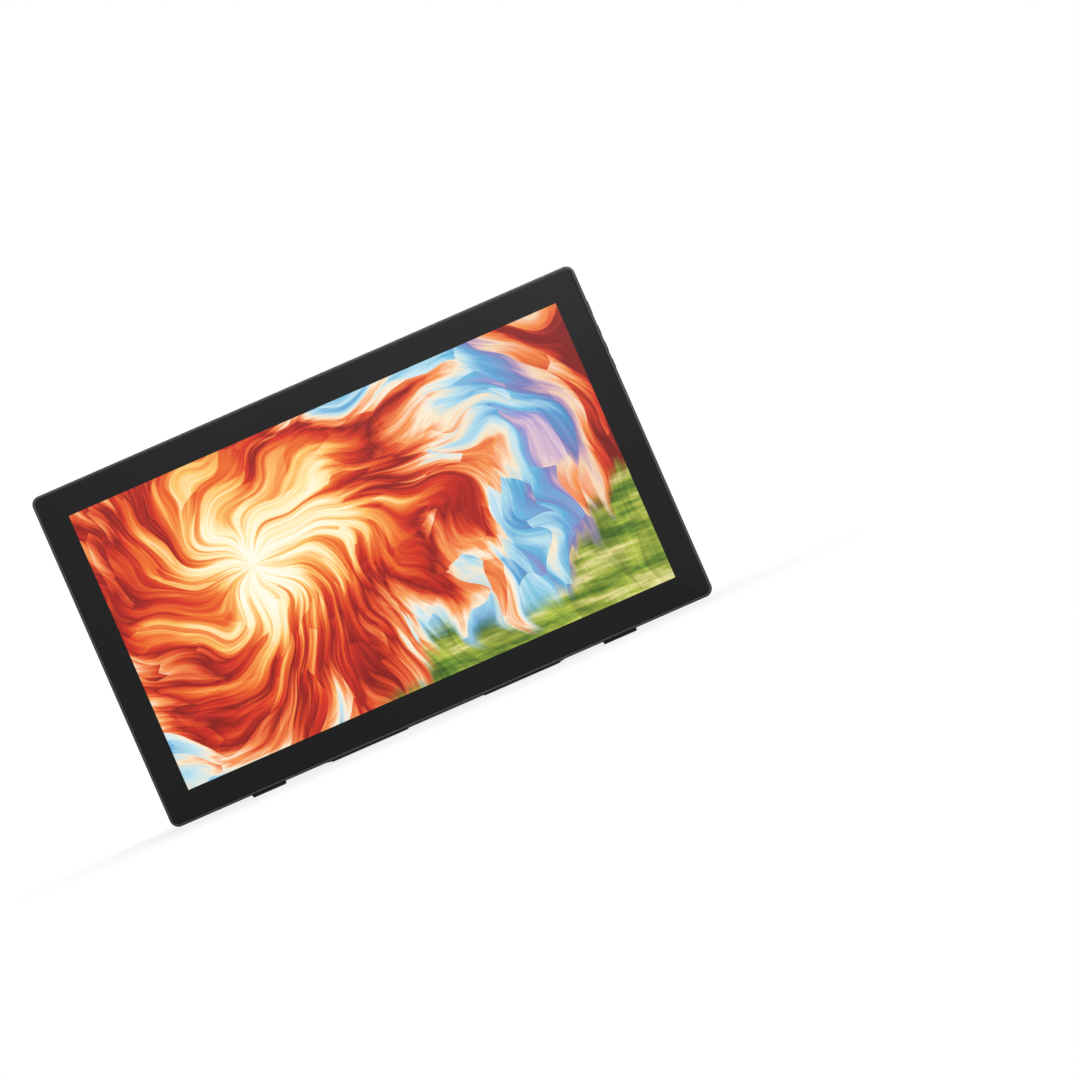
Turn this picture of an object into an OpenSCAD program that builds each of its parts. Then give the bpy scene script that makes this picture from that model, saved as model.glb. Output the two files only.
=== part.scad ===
// Pen display tablet on a folding rear stand, upright on its two feet with the stand leg just opened.
// Millimetres. +X to the right seen from the front, +Y to the back, +Z up.
// Pieces are drawn with y counted from the front of the glass and z from the tablet's lower edge,
// then placed() moves them to the origin on the floor under the middle of the whole object.

/* [Tablet] */
// Width of the picture area
screen_w = 526.8; // [460:0.1:600]
// Height of the picture area
screen_h = 296.4; // [260:0.1:340]
// Width of the dark border beside the picture
border_side = 29.6; // [28:0.1:45]
// Height of the dark border over and under the picture
border_end = 30.3; // [28:0.1:45]
// Thickness at the flat middle of the back
tablet_t = 31; // [29:0.5:36]
// Radius of the four corners seen from the front
corner_r = 9; // [6:0.5:14]
// Thickness of the cover glass
glass_t = 2; // [1.5:0.1:3]
// Width of the frame's rim around the glass
rim_w = 3; // [2.6:0.1:4]
// Step from the glass down to the rim
rim_step = 0.6; // [0.3:0.1:1]
// Distance from the glass front to the seam between frame and rear cover
seam_y = 13; // [12.5:0.5:14]

/* [Rear cover] */
// Wall of the rear cover
cover_wall = 2.5; // [2:0.1:3]
// How far the back curves down to its edges
roll_depth = 12; // [10:0.5:12]
// Width of the curved zone along the top edge
top_roll = 78; // [60:1:90]
// Width of the curved zone along the bottom edge
bottom_roll = 40; // [36:1:60]
// Width of the curved zone along the sides
side_roll = 30; // [26:1:40]
// Lower edge of the middle band on the back, under the hinge
band_down = 68; // [66:0.1:74]
// Upper edge of the middle band on the back, over the hinge
band_up = 68.1; // [66:0.1:74]
// Width of the crease lines
crease_w = 0.7; // [0.4:0.1:1.2]
// Depth of the crease lines
crease_d = 0.6; // [0.3:0.1:1]
// Distance of the vents' ends from the sides
vent_end = 68; // [45:1:150]
// Height of each vent
vent_h = 6.2; // [5:0.1:8]
// Spacing of the vent slits
vent_pitch = 6.05; // [4:0.05:10]
// Width of a vent slit
slit_w = 1.4; // [1:0.1:2.5]
// How deep the vent grilles lie under the back
vent_sink = 1; // [0.5:0.1:1.4]
// Thickness of a vent grille
grille_t = 1.8; // [1.5:0.1:2.5]

/* [Cover screws] */
// Distance of the cover screws from the side edges
screw_side = 9.5; // [9:0.1:12]
// Distance of the upper and lower cover screws from those edges
screw_end = 11.1; // [10:0.1:14]
// Radius of a cover screw's shank
screw_r = 1.5; // [1.2:0.1:2]
// Radius of a cover screw's head
screw_head_r = 2.4; // [2.2:0.1:3]
// Height of a cover screw's head
screw_head_h = 1.6; // [1.2:0.1:2]
// How deep a head's seat lies under the back
screw_sink = 3; // [2:0.1:4]

/* [Feet] */
// Width of a rubber foot
foot_w = 36; // [28:1:50]
// Distance of a foot's middle from the side of the tablet
foot_side = 103; // [60:1:105]
// How far the feet stand under the tablet's lower edge
foot_drop = 3; // [2:0.1:4]
// How far the feet reach up the back
foot_rise = 19.6; // [14:0.1:26]
// Thickness of a foot's skin on the back
foot_skin = 1.6; // [1.2:0.1:2.5]
// Number of grip grooves on a foot
foot_grooves = 6; // [3:1:7]

/* [Display stack] */
// Thickness of the liquid crystal cell
lcd_t = 1.8; // [1.2:0.1:2]
// Border of the cell outside the picture area
lcd_border = 5.5; // [3:0.5:6.5]
// Thickness of the diffuser films
film_t = 0.3; // [0.2:0.1:0.6]
// Thickness of the light guide
guide_t = 3; // [2:0.1:3.2]
// Border of the light guide outside the picture area
guide_border = 4; // [2:0.5:5]
// Height of the row of lamps under the light guide
led_h = 3.5; // [2.5:0.1:4]
// Wall of the backlight tray
tray_t = 0.8; // [0.5:0.1:1]
// Thickness of the pen sensor board
sensor_t = 0.8; // [0.6:0.1:1]
// Thickness of the shield plate
shield_t = 0.5; // [0.3:0.1:0.6]
// Thickness of the chassis plate
chassis_t = 2; // [1.5:0.1:2.2]
// Thickness of a circuit board
board_t = 1.2; // [1:0.1:1.6]
// Height of the standoffs under the main boards
standoff_h = 3; // [2:0.1:4]

/* [Ports and keys] */
// Middle of the row of sockets on the right side, over the lower edge
port_z = 105; // [95:1:115]
// Spacing of the sockets
port_pitch = 24; // [22:1:28]
// Middle of the power button on the right side, under the top edge
power_down = 47; // [40:1:60]
// Spacing of the three keys under it
key_pitch = 18; // [16:1:19]
// Length of the power button
power_len = 14; // [10:0.5:16]
// Length of each key
key_len = 10; // [8:0.5:12]
// Width of the buttons
key_w = 3; // [2.4:0.1:3.4]
// How far the buttons stand out
key_proud = 0.7; // [0.4:0.1:1]
// Travel of the buttons
key_travel = 0.5; // [0.3:0.1:0.6]

/* [Stand housing] */
// Height of the hinge over the middle of the tablet
hinge_up = 7.6; // [0:0.1:12]
// Height of the hinge over the back
hinge_rise = 13; // [13:0.1:15]
// Half width of the housing
housing_half = 68; // [66:0.5:72]
// Wall of the housing
housing_wall = 2.5; // [2:0.1:2.6]
// Height of the flat upper block over the back
block_rise = 21.6; // [20.5:0.1:22]
// Height of the rounded barrel's crest over the back
crest_rise = 25; // [24.6:0.1:25.4]
// Radius of the crest
crest_r = 65; // [62:1:68]
// Lower edge of the barrel, under the hinge
barrel_down = 39.5; // [38.7:0.1:40.1]
// Radius of the barrel's lower nose
nose_r = 15; // [14:0.5:16]
// Radius of the housing's upper corners
housing_corner = 10; // [4:0.5:11]
// Spacing of the four mounting screws
mount_pitch = 100; // [98:0.5:102]
// Thickness of the steel mount plate
mount_t = 2.5; // [2:0.1:3]
// Radius of the mounting screws
mount_screw_r = 2; // [1.5:0.1:2]
// Radius of the mounting screws' heads
mount_head_r = 3.8; // [3:0.1:4]
// Depth of the heads' seats under the upper block
mount_sink = 6.6; // [4:0.1:8]

/* [Hinge] */
// Radius of the hinge shaft
shaft_r = 5; // [4:0.1:5.2]
// Wall of the bushes round the shaft
bush_wall = 2.5; // [1.5:0.1:2.6]
// Wire of the lock spring
spring_wire = 1.6; // [1.2:0.1:1.8]
// Turns of the lock spring
spring_turns = 9; // [6:1:10]

/* [Stand leg] */
// Radius of the leg's eyes round the hinge
eye_r = 12; // [10:0.1:12]
// Gap between the housing and the arms
arm_gap = 3.3; // [2.5:0.1:4]
// Width of an arm
arm_w = 20; // [16:0.5:24]
// Thickness of the leg's plate
leg_t = 12; // [9:0.5:14]
// Length over which an arm thins out under its eye
taper_len = 50; // [40:1:60]
// Where the arms start to spread, under the hinge
spread_down = 38.1; // [34:0.1:42]
// Radius of the arms' outer edge
arm_arc_r = 180; // [170:1:200]
// Lowest point of the folded leg, under the tablet's lower edge
leg_drop = 4.4; // [4:0.1:6]
// Top of the foot bar, over the tablet's lower edge
foot_bar_top = 19.9; // [16:0.1:24]
// Radius of the foot bar's outer corners
bar_corner = 18; // [12:0.5:18]
// Radius of the window's lower corners
window_corner = 5; // [3:0.5:8]
// Top of the window, under the hinge
window_down = 67.6; // [64:0.1:76]
// The crossbar's ridge, under the hinge
ridge_down = 55.8; // [52:0.1:60]
// Gap from the crossbar's lip to the barrel
lip_gap = 0.8; // [0.8:0.1:3]
// How far the rubber pads stand out of the foot bar
pad_proud = 0.8; // [0.5:0.1:1.5]
// Length of each rubber pad
pad_len = 84; // [40:1:90]

/* [Release lever] */
// Half width of the lever's tongue
tongue_half = 15; // [12:0.5:16]
// Half width of the notch round the tongue
notch_half = 19.2; // [18:0.1:21]
// Lower end of the notch, over the hinge
notch_up = 17.4; // [16:0.1:18]
// Where the notch's sides turn straight, over the hinge
straight_up = 33.9; // [30:0.1:38]
// The bend between tongue and paddle, over the hinge
valley_up = 62.6; // [60:0.1:64]
// Height of the bend over the back
valley_rise = 13.5; // [13.5:0.1:15]
// The paddle's tip, over the hinge
tip_up = 144.1; // [130:0.1:148]
// Height of the tip over the back
tip_rise = 29; // [26:0.1:32]
// Half width of the paddle's neck
neck_half = 13; // [11:0.5:15]
// Half width across the paddle's corners
paddle_half = 34.6; // [30:0.1:38]
// Radius of the paddle's tip edge
tip_r = 86; // [70:1:110]
// Radius of the paddle's corners
paddle_corner = 3; // [2:0.5:5]
// Thickness of the paddle
paddle_t = 4.5; // [4:0.1:4.8]
// Height of the thumb dimple's middle under the tip
dimple_down = 17.5; // [16:0.5:22]
// Half length of the thumb dimple
dimple_long = 21.8; // [16:0.1:24]
// Half height of the thumb dimple
dimple_high = 9.3; // [7:0.1:10]
// Depth of the thumb dimple
dimple_deep = 2.2; // [1:0.1:2.6]

/* [Fits] */
// Running clearance of the shaft, each side
run_fit = 0.05; // [0.02:0.01:0.1]
// Clearance between stacked layers
seat = 0.05; // [0.02:0.01:0.1]
// Clearance of pieces set into a pocket
slip = 0.15; // [0.1:0.01:0.25]
// Clearance between pieces that move past each other
swing_gap = 0.5; // [0.4:0.05:0.8]

/* [Hidden] */
$fn = 96;
over = 1;
crest_lift = 0.1;
tablet_w = screen_w + 2 * border_side;
tablet_h = screen_h + 2 * border_end;
mid_z = tablet_h / 2;
hinge_z = mid_z + hinge_up;
band_low = hinge_z - band_down;
band_high = hinge_z + band_up;
vent_len = tablet_w - 2 * vent_end;
foot_x = tablet_w / 2 - foot_side;
power_z = tablet_h - power_down;
barrel_low = hinge_z - barrel_down;
arm_arc_z = hinge_z - spread_down;
window_top = hinge_z - window_down;
ridge_z = hinge_z - ridge_down;
notch_low = hinge_z + notch_up;
notch_straight = hinge_z + straight_up;
valley_z = hinge_z + valley_up;
tip_z = hinge_z + tip_up;

// Layers from the glass to the back
tape_t = 0.2;
ledge_y = glass_t + tape_t;
ledge_t = 1.5;
ledge_back = ledge_y + ledge_t;
lcd_y = glass_t + tape_t;
film_y = lcd_y + lcd_t + seat;
guide_y = film_y + film_t + seat;
tray_floor = guide_y + guide_t + seat;
sensor_y = tray_floor + tray_t + seat;
shield_y = sensor_y + sensor_t + seat;
chassis_y = shield_y + shield_t + seat;
chassis_back = chassis_y + chassis_t;
board_y = chassis_back + standoff_h;

// Frame, display module and chassis seen from the front
frame_wall = 2.2;
guide_w = screen_w + 2 * guide_border;
guide_h = screen_h + 2 * guide_border;
guide_low = mid_z - guide_h / 2;
guide_high = mid_z + guide_h / 2;
lcd_w = screen_w + 2 * lcd_border;
lcd_h = screen_h + 2 * lcd_border;
tray_half = guide_w / 2 + slip + tray_t;
tray_low = guide_low - led_h - 2 * slip - tray_t;
tray_high = guide_high + slip + tray_t;
module_gap = 1;
cable_room = 3;
cable_t = 0.3;
open_half = max(tray_half, lcd_w / 2) + module_gap;
open_low = min(tray_low, mid_z - lcd_h / 2) - cable_room;
open_high = max(tray_high, mid_z + lcd_h / 2) + module_gap;
chassis_inset = 7;
chassis_half = tablet_w / 2 - chassis_inset;

// Cover screws and the posts that take them
post_r = 4.2;
spigot_r = 2.8;
screw_points = [for (s = [-1, 1], z = [screw_end, mid_z, tablet_h - screw_end])
    [s * (tablet_w / 2 - screw_side), z]];
counterbore_r = screw_head_r + 1.1;

// Boards: left edge, lower edge, width and height
main_box = [-190, 70, 190, 96];
digitizer_box = [60, 170, 120, 60];
sensor_cable_x = digitizer_box[0] + digitizer_box[2] / 2;
sensor_cable_z = digitizer_box[1] + 16;
panel_cable_x = main_box[0] + main_box[2] / 2;
panel_cable_z = open_low + 1.6;
cable_w = 40;
connector = [cable_w + 4, 2, 4.5];
hole_inset = 5;
standoff_r = 2.4;

// Sockets and keys on the right side
io_depth = 26;
io_y = chassis_back + 0.3;
io_half = 1.5 * port_pitch + 8;
io_x = tablet_w / 2 - 4.5 - io_depth;
port_y = io_y + board_t + seat;
port_x = tablet_w / 2 - 0.6;
data_size = [8.94, 3.26, 8];
video_size = [15, 5.1, 11];
socket_wall = 0.35;
key_y = seam_y + 2.6;
flange_t = 0.9;
key_in = tablet_w / 2 - cover_wall - flange_t - 0.2;
switch_tip = key_in - key_travel - 0.3;
switch_size = [2.4, 4.5, 3.5];
plunger_r = 0.9;
plunger_len = 1.2;
key_board_x = switch_tip - plunger_len - switch_size[0] - board_t;
key_zs = [power_z, for (i = [1:3]) power_z - 6 - i * key_pitch];

// Stand: hinge axis, housing profile and mount plate
hinge_y = tablet_t + hinge_rise;
block_y = tablet_t + block_rise;
crest_cy = tablet_t + crest_rise - crest_r;
crest_z = hinge_z;
flank_z = crest_z + sqrt(pow(crest_r, 2) - pow(block_y - crest_cy, 2));
mount_back = tablet_t + mount_t;
mount_half = housing_half - housing_wall - 3;
mount_low = hinge_z - mount_pitch / 2 - 9;
mount_high = band_high - 4;
mount_points = [for (x = [-1, 1], z = [-1, 1]) [x * mount_pitch / 2, hinge_z + z * mount_pitch / 2]];
mount_head_h = 2.4;
mount_seat = block_y - mount_sink;
bush_r = shaft_r + run_fit + bush_wall;
ear_r = bush_r + 1.4;
ear_t = 3;
ear_x = mount_half - ear_t;
bracket_t = 2.5;
bracket_back = tablet_t - cover_wall - seat;
bracket_front = bracket_back - bracket_t;
nut_h = 4;

// Leg: arms, foot bar and window, folded flat against the back
arm_in = housing_half + arm_gap;
arm_out = arm_in + arm_w;
arc_x = arm_out + arm_arc_r;
window_arc_r = arm_arc_r + arm_w;
leg_back = hinge_y + eye_r;
leg_in = leg_back - leg_t;
bar_low = pad_proud - leg_drop;
bar_corner_z = bar_low + bar_corner;
bar_corner_x = arc_x - sqrt(pow(arm_arc_r + bar_corner, 2) - pow(arm_arc_z - bar_corner_z, 2));
window_corner_z = foot_bar_top + window_corner;
window_corner_x = arc_x - sqrt(pow(window_arc_r + window_corner, 2) - pow(arm_arc_z - window_corner_z, 2));
lip_top = barrel_low - lip_gap;
lip_back = hinge_y + 2;
lip_in = hinge_y - 6;
pad_in = leg_in + 0.6;
pad_w = 8;
pad_t = 2;
pad_x = bar_corner_x - pad_len / 2;

// Opening of the leg that brings its pads down to the floor under the feet
pad_reach = hinge_z + leg_drop;
pad_side = pad_in - hinge_y;
open_angle = acos((hinge_z + foot_drop) / norm([pad_reach, pad_side])) - atan(pad_side / pad_reach);
total_depth = hinge_y + eye_r * cos(open_angle) + (hinge_z - bar_low) * sin(open_angle);

// Lever: tongue, paddle arc and dimple
hub_half = 13;
hub_r = shaft_r + run_fit + 4;
root_z = notch_low + swing_gap;
root_y = crest_cy + sqrt(pow(crest_r, 2) - pow(root_z - crest_z, 2));
valley_y = tablet_t + valley_rise;
paddle_h = tip_z - valley_z;
paddle_gain = tip_rise - valley_rise;
paddle_r = (pow(paddle_h, 2) + pow(paddle_gain, 2)) / (2 * paddle_gain);
tongue_t = 5.5;
arm_top_y = root_y - housing_wall - 2 * swing_gap;
notch_bow = (pow(notch_straight - notch_low, 2) + pow(notch_half - tongue_half, 2))
    / (2 * (notch_half - tongue_half));
tip_cz = tip_z - tip_r;
corner_height = tip_cz + sqrt(pow(tip_r, 2) - pow(paddle_half, 2)) - valley_z;
neck_bow = (pow(corner_height, 2) + pow(paddle_half - neck_half, 2)) / (2 * (paddle_half - neck_half));
dimple_z = tip_z - dimple_down;
dimple_slope = asin((dimple_z - valley_z) / paddle_r);
dimple_y = valley_y + paddle_r * (1 - cos(dimple_slope));
dimple_minor = pow(dimple_high, 2) / (2 * dimple_deep);
dimple_major = pow(dimple_long, 2) / (2 * dimple_deep) - dimple_minor;

// Lock spring: a coil gripping the shaft, with one end under the lever's finger and one on the mount plate
coil_r = shaft_r + spring_wire / 2 + 0.4;
coil_step = spring_wire + 0.8;
coil_x = hub_half + 2.5 + spring_wire / 2;
coil_rings = 12;
tang_up = 17;
tang_down = 18;
finger_z = hinge_z + 10;
finger_h = 4;
finger_y = hinge_y - coil_r + spring_wire / 2 + 0.4;

// Radius of the curve that rolls off over a zone of this width, from a crest just over the flat back
function roll_r(w) = (pow(w, 2) + pow(roll_depth + crest_lift, 2)) / (2 * (roll_depth + crest_lift));

// Fall of the back at this distance into a curved zone
function roll_drop(d, w) = d <= 0 ? 0 : max(0, roll_r(w) - sqrt(pow(roll_r(w), 2) - pow(d, 2)) - crest_lift);

// Distance of the back's surface from the glass front
function back_y(x, z) = tablet_t - max(
    roll_drop(abs(x) - tablet_w / 2 + side_roll, side_roll),
    roll_drop(z - tablet_h + top_roll, top_roll),
    roll_drop(bottom_roll - z, bottom_roll));

// Place on the floor, with the origin under the middle of the object
module placed() {
    translate([0, -total_depth / 2, foot_drop]) children();
}

// Turn what belongs to the leg from folded to its resting angle
module opened() {
    placed() translate([0, hinge_y, hinge_z]) rotate([open_angle, 0, 0]) translate([0, -hinge_y, -hinge_z])
        children();
}

// Extrude a shape drawn in x and z from y0 to y1
module slab(y0, y1) {
    translate([0, y1, 0]) rotate([90, 0, 0]) linear_extrude(y1 - y0) children();
}

// Extrude a shape drawn in z and y from x0 to x1
module across(x0, x1) {
    translate([x1, 0, 0]) rotate([0, -90, 0]) linear_extrude(x1 - x0) children();
}

module rod_x(x0, x1, r) {
    translate([x0, hinge_y, hinge_z]) rotate([0, 90, 0]) cylinder(h = x1 - x0, r = r);
}

module rod_y(x, z, y0, y1, r) {
    translate([x, y0, z]) rotate([-90, 0, 0]) cylinder(h = y1 - y0, r = r);
}

module rounded_rect(w, h, r) {
    square([w - 2 * r, h], center = true);
    square([w, h - 2 * r], center = true);
    for (x = [-1, 1], z = [-1, 1]) translate([x * (w / 2 - r), z * (h / 2 - r)]) circle(r);
}

// Rectangle between two corners
module span(a, b) {
    translate(a) square([b[0] - a[0], b[1] - a[1]]);
}

// The tablet's outline drawn in by an inset
module outline(inset) {
    translate([0, mid_z]) rounded_rect(tablet_w - 2 * inset, tablet_h - 2 * inset, corner_r - inset);
}

// Zone cut away beside a rolled edge, along the edge's own depth
module roll_cut(w, inset) {
    difference() {
        span([-2 * over, seam_y - 2 * over], [w, tablet_t + over]);
        translate([w, tablet_t + crest_lift - roll_r(w)]) circle(roll_r(w) - inset);
    }
}

// Section of the back over a length, with a rolled edge at each end
module roll_profile(length, w0, w1, inset) {
    difference() {
        span([-over, seam_y - over], [length + over, tablet_t - inset]);
        roll_cut(w0, inset);
        translate([length, 0]) mirror([1, 0]) roll_cut(w1, inset);
    }
}

// The domed body of the back, drawn in by an inset
module dome(inset) {
    intersection() {
        slab(seam_y, tablet_t + over) outline(inset);
        across(-tablet_w / 2 - over, tablet_w / 2 + over) roll_profile(tablet_h, bottom_roll, top_roll, inset);
        translate([-tablet_w / 2, 0, -over]) linear_extrude(tablet_h + 2 * over)
            roll_profile(tablet_w, side_roll, side_roll, inset);
    }
}

module cover_glass() {
    color("#1c1c1e") placed() slab(0, glass_t) outline(rim_w);
}

module glass_tape() {
    tape_inset = rim_w + 1.5;
    color("#101010") placed() slab(glass_t, ledge_y) difference() {
        outline(tape_inset);
        span([-open_half - over, open_low - over], [open_half + over, open_high + over]);
    }
}

// Moulded ring with a ledge for the glass and six posts for the cover screws
module front_frame() {
    color("#202022") placed() difference() {
        union() {
            difference() {
                slab(rim_step, seam_y) outline(0);
                slab(-over, ledge_y) outline(rim_w - slip);
                slab(ledge_back, seam_y + over) outline(frame_wall);
                slab(-over, seam_y) span([-open_half, open_low], [open_half, open_high]);
            }
            for (p = screw_points) {
                rod_y(p[0], p[1], ledge_back - seat, chassis_y - seat, post_r);
                rod_y(p[0], p[1], ledge_back - seat, seam_y, spigot_r);
            }
        }
        for (p = screw_points) rod_y(p[0], p[1], ledge_back + over, seam_y + over, screw_r + seat);
    }
}

module lcd_cell() {
    color("#303238") placed() slab(lcd_y, lcd_y + lcd_t) translate([0, mid_z])
        square([lcd_w, lcd_h], center = true);
}

module diffuser_sheet() {
    color("white") placed() slab(film_y, film_y + film_t) translate([0, mid_z])
        square([guide_w, guide_h], center = true);
}

module light_guide() {
    color("#dfe8ea") placed() slab(guide_y, guide_y + guide_t) translate([0, mid_z])
        square([guide_w, guide_h], center = true);
}

// Strip of lamps along the lower edge of the light guide
module led_bar() {
    lamp = [5, 1.2];
    lamp_pitch = 14;
    lamps = floor((guide_w - 20) / lamp_pitch / 2);
    low = guide_low - slip - led_h;
    color("#e8e4d0") placed() {
        slab(guide_y, guide_y + guide_t)
            span([-guide_w / 2, low], [guide_w / 2, low + led_h - lamp[1]]);
        slab(guide_y + 0.3, guide_y + guide_t - 0.3) for (i = [-lamps:lamps])
            span([i * lamp_pitch - lamp[0] / 2, low + led_h - lamp[1] - seat],
                [i * lamp_pitch + lamp[0] / 2, low + led_h]);
    }
}

module backlight_tray() {
    color("#b8babc") placed() difference() {
        slab(film_y, tray_floor + tray_t) span([-tray_half, tray_low], [tray_half, tray_high]);
        slab(film_y - over, tray_floor)
            span([-tray_half + tray_t, tray_low + tray_t], [tray_half - tray_t, tray_high - tray_t]);
    }
}

module sensor_board() {
    color("#2f5a3a") placed() slab(sensor_y, sensor_y + sensor_t) translate([0, mid_z])
        square([lcd_w, lcd_h], center = true);
}

// Slot for the sensor's cable
module sensor_slot() {
    span([sensor_cable_x - cable_w / 2 - over, sensor_cable_z - over],
        [sensor_cable_x + cable_w / 2 + over, sensor_cable_z + 7]);
}

module shield_plate() {
    color("#a8aaac") placed() slab(shield_y, shield_y + shield_t) difference() {
        translate([0, mid_z]) square([lcd_w, lcd_h], center = true);
        sensor_slot();
    }
}

// Four hole centres of a board given as left edge, lower edge, width and height
function board_holes(b) = [for (x = [hole_inset, b[2] - hole_inset], z = [hole_inset, b[3] - hole_inset])
    [b[0] + x, b[1] + z]];

// Aluminium plate that carries the boards, with standoffs and two tabs for the key board
module chassis_plate() {
    tab = [2, 8, 5];
    color("#9a9c9e") placed() {
        slab(chassis_y, chassis_back) difference() {
            outline(chassis_inset);
            for (p = screw_points) translate(p) circle(spigot_r + slip);
            sensor_slot();
            span([panel_cable_x - cable_w / 2 - over, panel_cable_z - over],
                [panel_cable_x + cable_w / 2 + over, panel_cable_z + cable_t + over]);
        }
        for (b = [main_box, digitizer_box], p = board_holes(b))
            rod_y(p[0], p[1], chassis_back - seat, board_y, standoff_r);
        for (z = [-1, 1]) rod_y(io_x + hole_inset, port_z + z * (io_half - hole_inset),
            chassis_back - seat, io_y, standoff_r);
        for (z = [key_zs[3], key_zs[0]])
            translate([key_board_x - slip - tab[0], chassis_back - seat, z - tab[1] / 2])
                cube([tab[0], tab[2], tab[1]]);
    }
}

// Circuit board with fixing holes
module board(b, y) {
    slab(y, y + board_t) difference() {
        span([b[0], b[1]], [b[0] + b[2], b[1] + b[3]]);
        for (p = board_holes(b)) translate(p) circle(1.3);
    }
}

// Part on a board: place, size and height
module chip(x, z, w, h, t) {
    slab(board_y + board_t - seat, board_y + board_t + t) translate([x, z]) square([w, h], center = true);
}

// Connector on the front of a board that takes a flat cable
module cable_connector(x, z) {
    translate([x - connector[0] / 2, board_y - connector[1], z - connector[2] / 2])
        cube([connector[0], connector[1] + seat, connector[2]]);
}

module main_board() {
    left = main_box[0];
    low = main_box[1];
    color("#24503a") placed() {
        board(main_box, board_y);
        chip(left + 60, low + 55, 32, 32, 3.5);
        chip(left + 100, low + 60, 14, 20, 1.2);
        chip(left + 100, low + 32, 14, 20, 1.2);
        for (i = [0:4]) chip(left + 140 + 9 * i, low + 20, 6, 6, 4);
        chip(left + 150, low + 66, 24, 18, 2);
        cable_connector(panel_cable_x, low + connector[2] / 2);
    }
}

module digitizer_board() {
    left = digitizer_box[0];
    low = digitizer_box[1];
    color("#24503a") placed() {
        board(digitizer_box, board_y);
        chip(left + 40, low + 36, 14, 14, 1.4);
        for (i = [0:3]) chip(left + 66 + 11 * i, low + 42, 8, 5, 1.2);
        cable_connector(sensor_cable_x, sensor_cable_z + cable_t / 2);
    }
}

module io_board() {
    color("#24503a") placed() slab(io_y, io_y + board_t)
        span([io_x, port_z - io_half], [io_x + io_depth, port_z + io_half]);
}

// Socket shell open to the right, with a tongue inside
module socket(z, size, r, tongue) {
    w = size[0];
    h = size[1];
    y = port_y + h / 2;
    floor_t = 1;
    difference() {
        across(port_x - size[2], port_x) translate([z, y]) rounded_rect(w, h, r);
        across(port_x - size[2] + floor_t, port_x + over) translate([z, y])
            rounded_rect(w - 2 * socket_wall, h - 2 * socket_wall, r - socket_wall);
    }
    across(port_x - size[2] + floor_t - seat, port_x - 1.5) translate([z, y]) square(tongue, center = true);
}

module data_sockets() {
    color("#c8cacc") placed() for (i = [0, 1])
        socket(port_z + (i - 1) * port_pitch, data_size, data_size[1] / 2 - 0.02, [6.7, 0.7]);
}

module video_socket() {
    color("#c8cacc") placed() socket(port_z + port_pitch, video_size, 0.8, [11, 1.2]);
}

module key_board() {
    color("#24503a") placed() across(key_board_x, key_board_x + board_t)
        span([key_zs[3] - 9, chassis_back + seat], [power_z + 9, key_y + 3]);
}

// Push switches, one behind each button
module key_switches() {
    body_x = key_board_x + board_t;
    color("#3a3a3c") placed() for (z = key_zs) {
        across(body_x, body_x + switch_size[0]) translate([z, key_y])
            square([switch_size[1], switch_size[2]], center = true);
        translate([body_x, key_y, z]) rotate([0, 90, 0])
            cylinder(h = switch_size[0] + plunger_len, r = plunger_r);
    }
}

// Flat cable from the display cell round the tray to the main board
module panel_cable() {
    x = panel_cable_x;
    y0 = lcd_y + lcd_t / 2;
    run_y = board_y - connector[1] / 2;
    color("#c89a4a") placed() across(x - cable_w / 2, x + cable_w / 2) {
        span([panel_cable_z, y0], [mid_z - lcd_h / 2 - seat, y0 + cable_t]);
        span([panel_cable_z, y0], [panel_cable_z + cable_t, run_y + cable_t]);
        span([panel_cable_z, run_y], [main_box[1] - seat, run_y + cable_t]);
    }
}

// Flat cable from the back of the sensor board to the digitizer board
module sensor_cable() {
    y0 = sensor_y + sensor_t + seat;
    color("#c89a4a") placed()
        across(sensor_cable_x - cable_w / 2, sensor_cable_x + cable_w / 2) {
            span([sensor_cable_z, y0], [sensor_cable_z + 6, y0 + cable_t]);
            span([sensor_cable_z, y0], [sensor_cable_z + cable_t, board_y - connector[1] - seat]);
        }
}

// One vent's outline over its straight lower edge, with the upper corners rounded
module vent_outline(grow) {
    w = vent_len + 2 * grow;
    h = vent_h + 2 * grow;
    r = vent_h + grow - 0.2;
    translate([0, -grow]) intersection() {
        span([-w / 2, 0], [w / 2, h]);
        union() {
            span([-w / 2, 0], [w / 2, h - r]);
            span([r - w / 2, 0], [w / 2 - r, h]);
            for (s = [-1, 1]) translate([s * (w / 2 - r), h - r]) circle(r);
        }
    }
}

// Places what is drawn for a vent at the upper or the lower edge of the middle band
module at_vent(upper) {
    if (upper) translate([0, band_high]) children();
    else translate([0, band_low]) mirror([0, 1]) children();
}

module vent_grille(upper) {
    end_margin = 8;
    flange = 2;
    bridge = 0.7;
    slits = floor((vent_len / 2 - end_margin) / vent_pitch);
    top = tablet_t - vent_sink;
    under = tablet_t - cover_wall - seat;
    color("#3c3c3e") placed() difference() {
        union() {
            slab(under - seat, top) at_vent(upper) vent_outline(0);
            slab(under - grille_t, under) at_vent(upper) vent_outline(flange);
        }
        slab(under - grille_t - over, top + over) at_vent(upper) for (i = [-slits:slits])
            span([i * vent_pitch - slit_w / 2, bridge], [i * vent_pitch + slit_w / 2, vent_h - bridge]);
    }
}

module upper_vent_grille() {
    vent_grille(true);
}

module lower_vent_grille() {
    vent_grille(false);
}

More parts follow.
